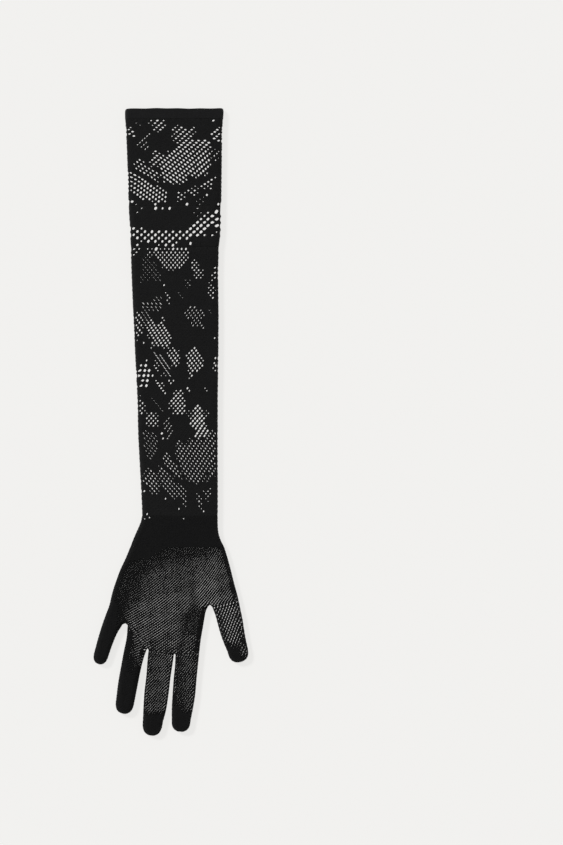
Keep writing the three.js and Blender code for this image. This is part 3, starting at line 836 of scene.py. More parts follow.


# %% [markdown]
# ## The lace chart
#
# Lace is charted as windows of open net in a dense ground. Each window is drawn as a
# closed line, and the holes in it lean one way. Together the windows draw the flowers, the fan
# and the leaves, which are what is left dense between them. A few single holes stand alone.

# %% Windows of the upper sleeve: name, size of the hole, its lean, and the line round it
Window = namedtuple("Window", "name hole lean line")
UPPER_WINDOWS = [
    Window("bud", 0.85, 10, [
        (148.5, 123), (151, 120.5), (155, 119.5), (162, 119.5), (166.5, 122), (166, 127),
        (163.5, 131), (160, 133), (154, 133), (152.5, 130), (155.5, 127), (149.5, 125.5)]),
    Window("edge bud", 0.95, 20, [
        (124, 130), (128, 126.5), (133, 128), (136.5, 131.5), (136, 136), (134.5, 140),
        (130.5, 138.5), (127, 135), (124, 135)]),
    Window("upper petal", 0.85, 8, [
        (170.5, 128.5), (176, 127), (181, 124.5), (184.5, 127), (187, 129.5), (191, 127.5),
        (198, 127.5), (197, 131.5), (193.5, 135), (192.5, 140), (177, 142), (171, 141),
        (171.5, 137.5), (174, 135), (171, 132)]),
    Window("fan neck", 1.0, 0, [
        (177, 141), (192, 139.5), (201, 140), (205, 138.5), (210, 140.5), (212, 145),
        (211.5, 150), (200, 151), (179, 151), (176.5, 147)]),
    Window("fan main", 1.0, -50, [
        (158, 160), (161, 154.5), (166, 156.5), (169, 150.5), (174, 149), (196, 149),
        (196, 180), (190.5, 176.5), (187.5, 175), (187.5, 181.5), (184, 184.5), (177, 185.5),
        (169, 184.5), (163, 183), (160.5, 177), (159.5, 168)]),
    Window("fan right", 1.0, 90, [
        (195, 149), (211, 149.5), (210.5, 158), (211, 168), (208.5, 173.5), (203, 178),
        (195.5, 180)]),
    Window("fan bridge", 0.9, 10, [
        (149.5, 160.5), (152.5, 154), (154, 149), (158, 150), (161.5, 155), (160, 165),
        (158, 168), (152, 168), (149, 165)]),
    Window("fan left", 0.85, -50, [
        (133.5, 166), (137, 160), (139, 157.5), (143, 161), (147, 164.5), (151, 168),
        (157, 170), (159.5, 174), (158.5, 183), (153, 181.5), (148, 179), (144, 176),
        (140, 173), (135.5, 171)]),
    Window("edge petal", 1.0, 30, [
        (209.5, 134.5), (212, 129), (218, 127.5), (223, 129), (223, 139), (220.5, 144),
        (216.5, 143), (212, 141), (210, 138)]),
    Window("fan right edge", 0.6, 60, [
        (210.5, 150), (217, 149.5), (221.5, 152), (221, 157), (217, 162), (214, 162.5),
        (210.5, 161)]),
    Window("corner specks", 0.8, 20, [(210.5, 121), (215, 118.5), (217, 120.5), (212.5, 123.5)]),
    Window("under arc left", 1.0, -25, [
        (126.5, 172.5), (131, 169.5), (134.5, 173), (139, 176), (146, 179.5), (140, 184),
        (126.5, 184)]),
    Window("under arc", 1.0, 60, [
        (126.5, 183), (139, 183), (146, 179.5), (150, 183.5), (157, 185.5), (163, 189.5),
        (168.5, 193.5), (168.5, 198), (165, 204.5), (160, 204.5), (155, 202), (142, 201.5),
        (137.5, 199), (133, 194.5), (130, 191), (126.5, 190)]),
    Window("strip foot", 0.85, 30, [
        (175.5, 193.5), (179.5, 190.5), (182, 192), (185, 196), (185.5, 200), (182.5, 204),
        (177.5, 202)]),
    Window("strip", 0.85, 30, [
        (184.5, 189), (190, 190), (193, 188), (196, 185.5), (198, 188), (200, 192),
        (196, 195.5), (195, 198), (190.5, 196.5), (188, 194.5), (184.5, 194)]),
    Window("strip top", 0.95, 30, [
        (200, 187), (203, 183), (208, 181), (212, 177.5), (216, 175), (217.5, 177),
        (214, 180.5), (212.5, 184), (213, 190.5), (209.5, 190.5), (209.5, 186.5), (205, 189),
        (201.5, 190)]),
    Window("band", 1.0, 60, [
        (129.5, 228), (133, 226.5), (138, 229), (143.5, 227.5), (147, 230.5), (155, 229),
        (160, 231), (168, 230), (184.5, 230), (190, 225), (190, 240), (189, 243), (184, 244),
        (180, 242), (176, 242.5), (170, 244.5), (165, 243.5), (158, 243), (152, 245),
        (146, 243.5), (140, 242), (136, 240.5), (129.5, 240)]),
    Window("band turn", 1.15, 45, [
        (189, 226), (191, 223.5), (194, 221), (197, 218.5), (202, 219), (204, 215.5),
        (208, 213), (212, 209), (215.5, 206), (218, 202.5), (222, 200), (221.5, 224),
        (220, 229.5), (215.5, 230.5), (212, 229), (208, 231), (205.5, 236), (200, 239),
        (196, 237.5), (192, 238), (189, 241)]),
    Window("band spur", 0.7, 30, [(209.5, 235), (213, 232.5), (215, 237), (212.5, 240)]),
    Window("edge slip", 0.85, 40, [
        (129.5, 243.5), (133, 244), (138, 243.5), (141, 249.5), (138, 252), (137, 255),
        (134, 257), (131.5, 260), (129.5, 260)]),
    Window("small fan left", 0.8, 60, [
        (147, 248), (152, 248), (153, 255), (150.5, 258.5), (147, 256)]),
    Window("small fan", 0.88, 75, [
        (153, 253), (156.5, 250), (160, 249.5), (170, 249), (180, 247), (188, 249.5),
        (190, 253), (189, 261), (185, 266), (180.5, 270), (170, 271), (163, 269.5),
        (159.5, 264), (157, 260.5), (154, 257.5)]),
    Window("slant slip", 0.85, 50, [
        (190, 264), (191, 260.5), (197.5, 259), (199, 264), (200, 269.5), (204.5, 270.5),
        (204, 275.5), (201, 280), (195.5, 280), (193.5, 275), (191, 270)]),
    Window("edge tear", 0.9, 40, [
        (211.5, 275), (213, 268), (215.5, 261.5), (219.5, 260.5), (219.5, 268), (218, 274),
        (218, 280), (215.5, 283), (211.5, 281)]),
]

# %% Windows of the lower sleeve
LOWER_WINDOWS = [
    Window("edge leaf", 0.8, 50, [
        (207, 284.5), (209.5, 283), (213, 286), (216, 289), (215, 296), (215.5, 301),
        (218.5, 305.5), (216, 307), (212.5, 303), (209.5, 299), (207.5, 295)]),
    Window("small cluster", 0.6, 0, [
        (183.5, 280), (190.5, 279.5), (192, 285), (191, 289.5), (186, 288), (184, 284)]),
    Window("small vine", 0.85, 60, [
        (165, 292.5), (168, 293), (171.5, 299), (169.5, 304.5), (166.5, 302), (166, 297)]),
    Window("right vine", 0.5, 0, [
        (175.5, 290.5), (178.5, 291), (184.5, 298), (183, 300.5), (178, 297.5)]),
    Window("left edge vine", 0.9, 70, [
        (132.5, 309.5), (136, 311), (140, 313.5), (144, 317.5), (143.5, 324), (143, 330),
        (143.5, 334), (140, 337), (138, 340), (135.5, 342.5), (132.5, 340)]),
    Window("heart", 0.98, 50, [
        (147, 321), (150, 318.5), (154, 319.5), (157, 324), (159.5, 323), (160.5, 319.5),
        (162.5, 315.5), (165, 317.5), (164, 322), (164.5, 326.5), (168, 327), (171.5, 335),
        (172, 342), (170.5, 348), (167, 350), (163, 348), (158, 348), (155, 346), (151, 349),
        (148.5, 348), (151, 343.5), (152.5, 339), (148, 338), (146, 330), (145.5, 325)]),
    Window("heart point", 0.95, 60, [
        (167, 352), (171, 348.5), (174.5, 346), (178, 349), (180.5, 354), (180, 362),
        (178.5, 367), (172.5, 367.5), (170, 363), (167, 358)]),
    Window("right leaf", 1.0, 60, [
        (185.5, 355), (189, 350), (192, 346.5), (196, 347), (199, 351.5), (202, 357),
        (204.5, 362), (203.5, 368), (199.5, 373), (194.5, 373), (193.5, 377), (189, 379.5),
        (188.5, 373), (187, 366), (186, 360)]),
    Window("right edge", 1.1, 70, [
        (213.5, 355), (220, 354), (220, 371), (213, 372), (213, 367)]),
    Window("stem", 0.9, 50, [
        (153.5, 359.5), (157.5, 361.5), (160, 367.5), (158, 372.5), (155, 370.5), (153.5, 366)]),
    Window("stem foot", 0.85, 50, [
        (159.5, 373), (164, 371.5), (167, 378), (164.5, 380), (161.5, 376)]),
    Window("stem slip", 0.95, 40, [
        (154.5, 379), (158, 379.5), (163.5, 383), (164.5, 388), (167.5, 392), (167, 398.5),
        (164, 396), (161, 391), (156.5, 387), (156, 383)]),
    Window("left leaf", 1.75, 65, [
        (136.5, 372), (139.5, 367.5), (142, 364.5), (148, 363.5), (150.5, 369), (153, 375),
        (152, 379.5), (150.5, 383), (148.5, 385.5), (147, 390), (142, 390.5), (137, 391),
        (136, 384)]),
    Window("low edge vine", 0.85, 65, [
        (136.5, 391), (139, 392), (141, 397.5), (144.5, 400.5), (146, 407), (145, 412),
        (143.5, 417), (140.5, 418.5), (137.5, 413)]),
    Window("calyx", 0.9, 60, [
        (144.5, 416), (147.5, 413), (153, 411), (157, 413.5), (159.5, 418), (159.5, 424.5),
        (156, 428.5), (152, 427), (147, 426.5), (144, 423)]),
    Window("inner leaf", 1.0, 45, [
        (169, 404), (171, 397.5), (174, 392), (177.5, 389.5), (182, 389), (184.5, 395),
        (186, 402), (186.5, 409), (185, 414.5), (180, 415.5), (174, 416), (171, 416.5),
        (174, 411), (172, 406.5), (168.5, 410.5), (167.5, 408)]),
    Window("dashes", 0.6, 50, [(186, 411), (190, 408.5), (193.5, 414), (190, 419.5), (187, 416)]),
    Window("flower net", 1.13, 55, [
        (189, 420), (192.5, 415.5), (193, 409), (195.5, 404.5), (199.5, 403.5), (202.5, 408),
        (204, 415), (206, 420.5), (206.5, 426), (209.5, 431), (206, 437), (202, 439),
        (196.5, 439.5), (193.5, 436), (194.5, 431), (191.5, 427), (189.5, 424.5)]),
    Window("right specks", 0.65, 60, [
        (203.5, 412), (207, 409.5), (210.5, 412), (209.5, 416.5), (206.5, 420), (203.5, 417)]),
    Window("window", 0.74, -65, [
        (176.5, 439.5), (179, 437.5), (181.5, 441), (184, 445.5), (187, 443), (190.5, 436.5),
        (194, 440), (203, 439), (207, 434), (210, 430.5), (213, 429.5), (217, 430.5),
        (217, 470), (216, 476.5), (210, 478), (206, 471), (203.5, 478.5), (198.5, 484),
        (193, 484), (189, 481), (185, 478), (183, 473), (180, 467), (178, 462), (176, 457),
        (175, 452), (176, 446)]),
    Window("petal net", 0.76, -60, [
        (162, 458), (164.5, 450), (168, 450), (171, 456), (173, 461), (178, 465.5), (181, 472),
        (183, 479), (179, 479), (174, 476), (170, 471), (166, 466.5), (163, 463)]),
    Window("hanging net", 0.7, -60, [
        (157.5, 467.5), (160.5, 463.5), (165, 469), (170, 473.5), (174, 479.5), (178, 483),
        (182, 485), (187.5, 489), (187, 495), (188, 499.5), (186.5, 508), (183, 506.5),
        (181, 500), (178, 497.5), (173, 500), (170, 496), (166, 492.5), (162.5, 488),
        (159.5, 481.5), (158, 475)]),
    Window("low edge net", 0.78, -65, [
        (142, 478), (144.5, 472), (148.5, 467.5), (153.5, 470), (158, 476), (159.5, 483),
        (161, 489), (158, 493.5), (154.5, 496), (151, 493.5), (149, 488.5), (145, 485.5),
        (142.5, 483)]),
    Window("corner net", 0.65, 40, [
        (200.5, 492), (204, 490), (208.5, 487), (212.5, 488), (213, 494.5), (210, 499),
        (208, 502), (205, 499.5), (205.5, 495), (202, 494.5)]),
    Window("left strip", 0.8, 80, [
        (196, 494), (198.5, 492), (201, 497), (202.5, 503), (201.5, 509), (198, 508.5),
        (197, 500)]),
]

# %% Faint windows, where the holes are thin slits that make a fine hatching
FAINT = [
    Window("petal", 0.78, 60, [
        (137, 141), (142, 136), (147, 132), (151, 134), (150, 139), (146, 142), (149, 146),
        (147, 151), (142, 151), (137, 148)]),
    Window("twig", 0.7, 0, [(133, 119), (137, 120), (142, 127), (139, 129), (134, 123)]),
    Window("flower", 0.9, 60, [
        (184, 309), (190, 307), (196, 307), (199, 312), (203, 309), (206, 318), (202, 320),
        (205, 327), (204.5, 333), (200, 329), (196, 324), (192, 327), (190.5, 318),
        (187, 321), (184, 315)]),
    Window("right bud", 0.7, 0, [
        (207.5, 306.5), (211, 308), (213, 312.5), (210.5, 315.5), (208, 311)]),
    Window("flower middle", 0.8, 50, [
        (164, 420), (168, 417), (172, 418.5), (170, 423), (174, 430), (171, 434),
        (171.5, 440), (167.5, 439), (166, 431), (163.5, 426)]),
    Window("thin stem", 0.75, -50, [
        (150, 398.5), (153, 395.5), (158, 400), (164, 411), (161, 412), (156, 405), (151, 402)]),
    Window("fern", 1.25, -50, [
        (153, 352), (158, 353), (164, 359), (170, 368), (171, 378), (167, 376), (160, 365),
        (154, 357)]),
    Window("vine", 1.0, -50, [
        (141, 302), (150, 302), (163, 293), (163, 310), (151, 312), (148, 329), (143, 328)]),
    Window("leaf ribs", 0.75, -50, [
        (143, 256), (146, 256), (154, 262), (161, 272), (161, 281), (150, 280), (140, 285)]),
    Window("petal ribs", 0.85, -50, [
        (143, 430), (156, 432), (158, 446), (152, 462), (146, 460), (143, 445)]),
    Window("arc end", 0.48, 45, [(194, 200), (204, 196), (204, 214), (194, 218)]),
    Window("arc foot", 0.58, 45, [(136, 205), (143, 205), (143, 215), (136, 215)]),
    Window("window foot", 0.8, -65, [(200, 475), (209, 475), (209, 482), (200, 482)]),
]

# %% Single holes
Hole = namedtuple("Hole", "x y size")
SINGLE_HOLES = [
    Hole(132.5, 202, 1.25), Hole(153, 207, 0.95), Hole(161.5, 209.5, 0.6),
    Hole(172.5, 208.5, 0.9), Hole(187.5, 203.5, 1.0), Hole(205, 195.5, 1.0),
    Hole(157, 246.5, 1.4), Hole(167, 245, 1.0), Hole(172, 248, 0.95), Hole(187, 247, 0.9),
    Hole(192.5, 246, 0.9), Hole(161, 244.5, 0.6), Hole(178.5, 244.5, 0.6),
    Hole(218, 234, 0.6), Hole(220.5, 236, 0.6), Hole(163.5, 286.8, 1.0), Hole(214, 337, 0.9),
    Hole(144.5, 342, 0.9), Hole(147, 360.5, 0.9), Hole(170, 380, 0.9), Hole(172, 383, 0.8),
    Hole(175, 380.5, 0.9), Hole(188.5, 388.5, 1.2), Hole(190, 392, 0.9), Hole(204, 388, 0.6),
    Hole(207.5, 391, 0.6), Hole(163, 433, 1.2), Hole(163.5, 437.5, 0.9), Hole(163.5, 429, 0.6),
    Hole(144.5, 493.5, 0.9), Hole(164, 499, 0.9), Hole(178.5, 509.5, 0.9),
    Hole(204, 509.5, 0.9), Hole(149, 515, 0.8), Hole(146, 519, 0.8), Hole(182.5, 518, 0.8),
]


# %% Stitches from the chart
LACE_RIM = 2.0
FULL_WIDTH = 1.0
FAINT_WIDTH = 0.5
HOLE_REACH = 3.0
HOLE_LEAN = 65
RIM_SIZE = 0.6
EVERY_SECOND_ROW = {"left leaf"}
LACE_SEED = 11
SIZE_SPREAD = (0.9, 1.08)
LEAN_SPREAD = 6


def depth_in(points, line):
    """How many pixels of the chart a point lies inside a closed line, negative outside."""
    corners = from_chart(line)
    gap, _, _ = nearest(points, corners, np.roll(corners, -1, axis=0))
    return np.where(inside(points, Outline(corners, None)), gap, -gap) / MM_PER_PIXEL


def lace_stitches(points, uw):
    """Size and lean of the hole in each cell. The last window over a cell gives the lean, the
    widest one the size, and cells at a window's rim have smaller holes. Size 0 is dense. At the
    end each hole varies a little in size and lean."""
    rng = np.random.default_rng(LACE_SEED)
    size = np.zeros(len(points))
    lean = np.zeros(len(points))
    width = np.full(len(points), FULL_WIDTH)
    for window in FAINT:
        pierced = depth_in(points, window.line) > 0
        size = np.where(pierced, window.hole, size)
        lean = np.where(pierced, window.lean, lean)
        width = np.where(pierced, FAINT_WIDTH, width)
    for window in [*UPPER_WINDOWS, *LOWER_WINDOWS]:
        depth = depth_in(points, window.line)
        rim = RIM_SIZE + (1 - RIM_SIZE) * smooth(depth, 0, LACE_RIM)
        opening = np.where(depth > 0, window.hole * rim, 0.0)
        if window.name in EVERY_SECOND_ROW:
            opening = np.where(uw[:, 1] % 2 == 0, opening, 0.0)
        size = np.where(depth > 0, np.maximum(size * (width == FULL_WIDTH), opening), size)
        lean = np.where(depth > 0, window.lean, lean)
        width = np.where(depth > 0, FULL_WIDTH, width)
    for hole in SINGLE_HOLES:
        gap = np.hypot(*(points - from_chart([hole.x, hole.y])).T)
        if gap.min() < HOLE_REACH:
            size[gap.argmin()] = hole.size
            lean[gap.argmin()] = HOLE_LEAN
            width[gap.argmin()] = FULL_WIDTH
    size = size * rng.uniform(*SIZE_SPREAD, len(points))
    lean = lean + rng.normal(0, LEAN_SPREAD, len(points))
    return Stitch(size, lean, above=width, below=width)


print("windows:", len(UPPER_WINDOWS) + len(LOWER_WINDOWS), "faint:", len(FAINT))

# %% [markdown]
# ## The sleeve
#
# The lace changes its mesh twice. Round the fan the cells are wide and low, in the band below
# it they are the largest, and from the small fan down they are fine. Each of the three parts
# is knitted with its own cell, and they meet in rows that run straight across the sleeve.

# %% Knit the sleeve
DOWN = -np.pi / 2
FAR = 4000.0
LACE_SLIP = (0.05, 0.10)
WIDE_LACE = Net(origin=(3.0, 215.0), heading=DOWN, radius=FAR, pitch=5.2, row=1.8,
                hole_long=1.1, hole_short=0.78, sway=1.0)
LARGE_LACE = Net(origin=(4.0, 160.0), heading=DOWN, radius=FAR, pitch=5.8, row=2.65,
                 hole_long=1.42, hole_short=0.89, sway=1.0)
FINE_LACE = Net(origin=(5.0, 30.0), heading=DOWN, radius=FAR, pitch=3.62, row=2.08,
                hole_long=1.0, hole_short=0.58, sway=1.0)
fan = knit("lace_fan", WIDE_LACE, LACE_CELL, lace_stitches, slip=LACE_SLIP)
band = knit("lace_band", LARGE_LACE, LACE_CELL, lace_stitches, slip=LACE_SLIP)
flowers = knit("lace_flowers", FINE_LACE, LACE_CELL, lace_stitches, slip=LACE_SLIP)
leaves = knit("lace_leaves", FINE_LACE, LACE_CELL, lace_stitches, slip=LACE_SLIP)

# %% [markdown]
# ## The wrist band
#
# Between lace and hand lies a short plain band. It is knitted like the rest, in small cells
# that are nearly all filled, so its surface only shows the fine relief of the stitches.

# %% Knit the wrist band
WRIST_NET = Net(origin=(6.0, -90.0), heading=DOWN, radius=170.0, pitch=2.6, row=1.25,
                hole_long=0.55, hole_short=0.5, sway=0.0)
wrist = knit("wrist_band", WRIST_NET, FINE_CELL, lace_stitches)

# %% [markdown]
# ## The hand and the fingers
#
# The hand is a finer net. Its columns spread like a fan from above the wrist. The holes are
# narrow and lean along their rows, and those of the lower side are finer slits. In most
# stages they lie in line with the ones above, so light falls through in rows of short
# slanting dashes. On the little and the ring finger the lower side has slipped by half a
# cell. The outer edge of the hand, the little and most of the ring finger, the joins above
# the webs and the tips stay dark. Each window in the table gives its share of light, half
# the width of the rim over which it fades, in pixels, and the line round it.

# %% Where the net of the hand lets light through
NetWindow = namedtuple("NetWindow", "name light soft line")
NET_WINDOWS = [
    NetWindow("whole palm", 0.66, 14, [
        (139, 586), (146, 573), (156, 565), (170, 562), (186, 561), (200, 556), (214, 551),
        (226, 551), (240, 575), (246, 606), (216, 616), (206, 610), (198, 608), (190, 610),
        (184, 618), (184, 628), (190, 634), (190, 664), (150, 664), (140, 672), (131, 650),
        (127, 630), (127, 612), (132, 598)]),
    NetWindow("low palm", 1.15, 6, [
        (127, 614), (134, 602), (145, 595), (160, 591), (176, 591), (190, 593), (198, 599),
        (190, 607), (184, 614), (183, 626), (182, 640), (178, 654), (160, 646), (150, 640),
        (146, 654), (140, 657), (133, 645), (130, 630)]),
    NetWindow("palm heart", 1.35, 5, [
        (146, 624), (154, 614), (172, 611), (174, 628), (164, 638), (150, 638)]),
    NetWindow("middle palm", 0.75, 6, [
        (140, 590), (148, 574), (158, 568), (166, 574), (176, 582), (190, 584), (200, 592),
        (190, 604), (150, 604)]),
    NetWindow("right palm", 1.35, 7, [
        (194, 588), (200, 577), (208, 572), (217, 576), (223, 590), (226, 604), (214, 614),
        (206, 612), (198, 606), (191, 600)]),
    NetWindow("upper right palm", 0.85, 6, [
        (192, 568), (202, 560), (214, 556), (224, 560), (230, 580), (230, 592), (200, 590),
        (190, 582)]),
    NetWindow("below the wrist", 0.13, 5, [
        (152, 560), (162, 550), (186, 543), (220, 542), (234, 560), (236, 580), (150, 580)]),
    NetWindow("outer palm", 0.16, 5, [
        (118, 575), (132, 562), (144, 559), (144, 574), (138, 588), (132, 602), (128, 616),
        (124, 618), (120, 608), (116, 596)]),
    NetWindow("index side", 0.32, 4, [
        (188, 605), (200, 602), (208, 612), (206, 640), (190, 646), (186, 622)]),
    NetWindow("thumb root", 1.05, 4, [
        (208, 594), (220, 586), (234, 590), (246, 602), (246, 612), (208, 612)]),
    NetWindow("thumb", 1.0, 6, [
        (204, 596), (244, 596), (249, 620), (246, 634), (238, 643), (226, 643), (212, 634)]),
    NetWindow("thumb edge", 0.6, 2.5, [(240, 640), (246, 644), (251, 654), (248, 660), (241, 655)]),
    NetWindow("middle finger", 0.85, 4, [
        (138, 652), (149, 640), (180, 640), (177, 664), (175, 680), (172, 696), (167, 709),
        (160, 712), (148, 712), (139, 706), (140, 690), (140, 672)]),
    NetWindow("middle side", 1.05, 4, [(160, 652), (178, 648), (176, 692), (162, 702), (159, 680)]),
    NetWindow("index finger", 0.85, 4, [
        (183, 636), (207, 632), (207, 665), (204, 680), (201, 695), (193, 711), (184, 710),
        (181, 690), (180, 665)]),
    NetWindow("index specks", 0.5, 3, [(170, 656), (182, 640), (182, 706), (172, 702), (170, 680)]),
    NetWindow("ring finger", 1.2, 3.5, [
        (133, 642), (139, 636), (151, 632), (150, 654), (145, 664), (140, 671), (137, 662)]),
]
DARKEST = 0.04
EDGE = (0.2, 1.0)
PATCH_WAVES = Waves(height=0.25, first=(2.9, -4.1), second=(5.3, 3.7))
NET_SEED = 23
LIGHT_SPREAD = (0.85, 1.15)


def light_through(points):
    """How much light each place lets through: the brightest window over it, softened over so
    many pixels on both sides of its line, made patchy by slow waves, uneven from cell to cell,
    and dimmed towards the folds. Below DARKEST the net is dense."""
    rng = np.random.default_rng(NET_SEED)
    light = np.zeros(len(points))
    for window in NET_WINDOWS:
        depth = depth_in(points, window.line)
        light = np.maximum(light, window.light * smooth(depth, -window.soft, window.soft))
    patches = 1 + waves(PATCH_WAVES, *points.T)
    gap, _, _ = nearest(points, fold_starts, fold_ends)
    return light * patches * smooth(gap, *EDGE) * rng.uniform(*LIGHT_SPREAD, len(points))


# %% Knit the hand and the fingers
# Cell width and row height in mm, length and width of the holes above, width of the slits
# below in full light, slip of the lower side, and how much wider the holes are near a fold
Mesh = namedtuple("Mesh", "pitch row long wide slit slip wider")
HALF_STEP = (0.25, 0.5)
IN_LINE = (0.0, 0.0)
MESHES = {
    "hand": Mesh(2.75, 1.16, 0.84, 0.20, 0.076, IN_LINE, 0.5),
    "little_finger": Mesh(2.6, 1.4, 1.2, 0.20, 0.06, HALF_STEP, 0.0),
    "ring_finger": Mesh(3.4, 1.15, 1.2, 0.20, 0.075, HALF_STEP, 1.0),
    "middle_finger": Mesh(2.07, 1.43, 0.8, 0.18, 0.062, IN_LINE, 1.0),
    "index_finger": Mesh(2.0, 1.69, 0.8, 0.18, 0.054, IN_LINE, 1.0),
    "thumb": Mesh(2.7, 1.86, 0.8, 0.30, 0.185, IN_LINE, 0.0),
}
WIDER_ABOVE = 0.6
WIDER_BELOW = 1.35
WIDER_FADE = (2.2, 4.0)
HAND_ORIGIN = (0.0, -150.0)
HAND_RADIUS = 190.0


def net_of(name, origin, heading, radius):
    """Knits a stage of fine net. Its slanting rows of holes run at atan(2 row / pitch), with
    the pitch where they are, and the holes lean along them. The lower side may slip half a step
    along the rows. Its holes are pulled to slits, the wider the more light comes through. Near
    a fold both sides tilt and hide each other's holes, so there the holes may be wider."""
    mesh = MESHES[name]
    net = Net(origin, heading, radius, mesh.pitch, mesh.row, mesh.long, mesh.wide, sway=0.0)

    def stitches(points, uw):
        """Open cells where light comes through, with the lean of their row."""
        light = light_through(points)
        pitch = net.pitch * (1 - uw[:, 1] * net.row / net.radius)
        lean = np.degrees(np.arctan2(2 * net.row, pitch))
        gap, _, _ = nearest(points, fold_starts, fold_ends)
        wider = mesh.wider * (1 - smooth(gap, *WIDER_FADE))
        slits = light * mesh.slit / mesh.wide * (1 + WIDER_BELOW * wider)
        return Stitch((light > DARKEST).astype(float), lean, 1 + WIDER_ABOVE * wider, slits)

    return knit(name, net, FINE_CELL, stitches, slip=mesh.slip)


def heading_of(finger):
    """Direction from a finger's root to its tip, as an angle."""
    first, last = finger.rows[0], finger.rows[-1]
    dx = (last.left_x + last.right_x - first.left_x - first.right_x) / 2
    dy = (last.left_y + last.right_y - first.left_y - first.right_y) / 2
    return np.arctan2(dy, dx)


hand = net_of("hand", HAND_ORIGIN, DOWN, HAND_RADIUS)
fingers = {}
for finger in FINGERS:
    root = root_line(finger).mean(axis=0)
    fingers[finger.name] = net_of(finger.name, tuple(root), heading_of(finger), FAR)

# %% [markdown]
# ## The hem
#
# The mouth ends in a dense welt: the fabric is turned in on itself, so it is thicker and its
# lip is round. It is a profile carried round the tube's section, with fine ribs along it.
# HEM_ROUND points go round the section, HEM_TURN of them in each quarter of a turn, and the
# profile has HEM_SIDE points on each long side and HEM_LIP on the lip.

# %% Knit the hem
HEM_TOP = 259.9
HEM_THICKNESS = 1.35
HEM_ROUND = 420
HEM_TURN = 12
HEM_SIDE = 9
HEM_LIP = 9
RIB_PITCH = 1.5
RIB_DEPTH = 0.06
SAG = 0.25
SAG_LENGTHS = (9.0, 4.3)
SAG_PHASE = 1.0
SAG_FADE = (255.0, 260.0)


def hem_section(y):
    """The tube's section at each level y: below from the left fold to the right one, and back
    over the top. The walk is even in the rise of the fold and in x between."""
    left, right = np.array(folds_at(y))[..., None]
    turn = turn_back(np.sin(np.linspace(0, np.pi / 2, HEM_TURN))[1:])
    flat = np.linspace(0.0, 1.0, HEM_ROUND // 2 - 2 * HEM_TURN)[1:-1]
    middle = left + FOLD_REACH + flat * (right - left - 2 * FOLD_REACH)
    across = np.concatenate([left + turn, middle, right - turn[::-1]], axis=1)
    gap = np.minimum(across - left, right - across)
    ends = np.full_like(left, FOLD_LEVEL)
    x = np.concatenate([across, right, across[:, ::-1], left], axis=1)
    z = np.concatenate([lower_height(gap), ends, calm_height(gap)[:, ::-1], ends], axis=1)
    return x, z


def make_hem():
    """Carries a rounded strip, HEM_THICKNESS thick, round the section: its long sides are the
    outer and the inner face, and a half circle joins them at the lip, which sags unevenly."""
    side = np.linspace(0.0, 1.0, HEM_SIDE)
    lip = np.linspace(0.0, np.pi, HEM_LIP)[1:-1]
    radius = HEM_THICKNESS / 2
    rise = HEM_TOP - radius - HEM_END
    outer_y = HEM_END + side * rise
    lip_y = HEM_END + rise + radius * np.sin(lip)
    depth = np.concatenate([np.zeros(len(side)), radius * (1 - np.cos(lip)),
                            np.full(len(side), HEM_THICKNESS)])
    y = np.concatenate([outer_y, lip_y, outer_y[::-1]])
    x, z = hem_section(y)
    points = np.stack([x, np.broadcast_to(y[:, None], x.shape), z], axis=-1)
    tangent = np.roll(points, -1, axis=1) - np.roll(points, 1, axis=1)
    outward = np.stack([tangent[..., 2], np.zeros_like(x), -tangent[..., 0]], axis=-1)
    outward /= np.maximum(np.linalg.norm(outward, axis=-1, keepdims=True), NO_LENGTH)
    rib = RIB_DEPTH * (0.5 - 0.5 * np.cos(2 * np.pi * x / RIB_PITCH))
    points = points - outward * (depth[:, None] + rib * (depth[:, None] < radius))[..., None]
    long, short = SAG_LENGTHS
    sag = SAG * np.sin(x / long) * np.sin(x / short + SAG_PHASE) * smooth(y, *SAG_FADE)[:, None]
    points[..., 1] += sag
    points[..., 2] = np.maximum(points[..., 2], 0.0)
    index = np.arange(x.size).reshape(x.shape)
    ahead = np.roll(index, -1, axis=1)
    below = np.roll(index, -1, axis=0)
    corner = np.roll(ahead, -1, axis=0)
    faces = np.stack([index, ahead, corner, below], axis=-1).reshape(-1, 4)
    piece, triangles = make_mesh("top_hem_knit", points.reshape(-1, 3), [faces])
    print("top_hem:", triangles, "triangles")
    return piece


hem = make_hem()

# %% [markdown]
# ## Black yarn
#
# The whole glove is one matt black yarn, so its looks come from relief more than colour. The
# filled cells carry the relief of plain knitting: columns of small slanting legs, two to a
# stitch. The grooves between them are painted darker, a painted shade that follows the relief,
# the surface is rough, and a weak sheen lets the fuzz of the yarn catch the light along the bars.

# %% Shader maths as Python expressions
class Value:
    """One output socket of a shader tree: + - * / write Math nodes, and node() any other."""

    def __init__(self, socket):
        self.socket = socket

    def node(self, kind, settings, inputs, output=0):
        """Adds a node of a type, with its settings first, then its sockets linked or set."""
        made = self.socket.id_data.nodes.new(kind)
        for name, value in settings.items():
            setattr(made, name, value)
        for name, value in inputs.items():
            if isinstance(value, Value):
                self.socket.id_data.links.new(value.socket, made.inputs[name])
            else:
                made.inputs[name].default_value = value
        return Value(made.outputs[output])

    def math(self, operation, *others):
        """A Math node with this value in one of its sockets."""
        return self.node("ShaderNodeMath", {"operation": operation}, dict(enumerate(others)))

    def __add__(self, other):
        return self.math("ADD", self, other)

    def __radd__(self, other):
        return self.math("ADD", other, self)

    def __sub__(self, other):
        return self.math("SUBTRACT", self, other)

    def __rsub__(self, other):
        return self.math("SUBTRACT", other, self)

    def __mul__(self, other):
        return self.math("MULTIPLY", self, other)

    def __truediv__(self, other):
        return self.math("DIVIDE", self, other)

    def size(self):
        """The value without its sign."""
        return self.math("ABSOLUTE", self)

    def part(self):
        """What is left of the value above the whole number below it."""
        return self.math("FRACT", self)


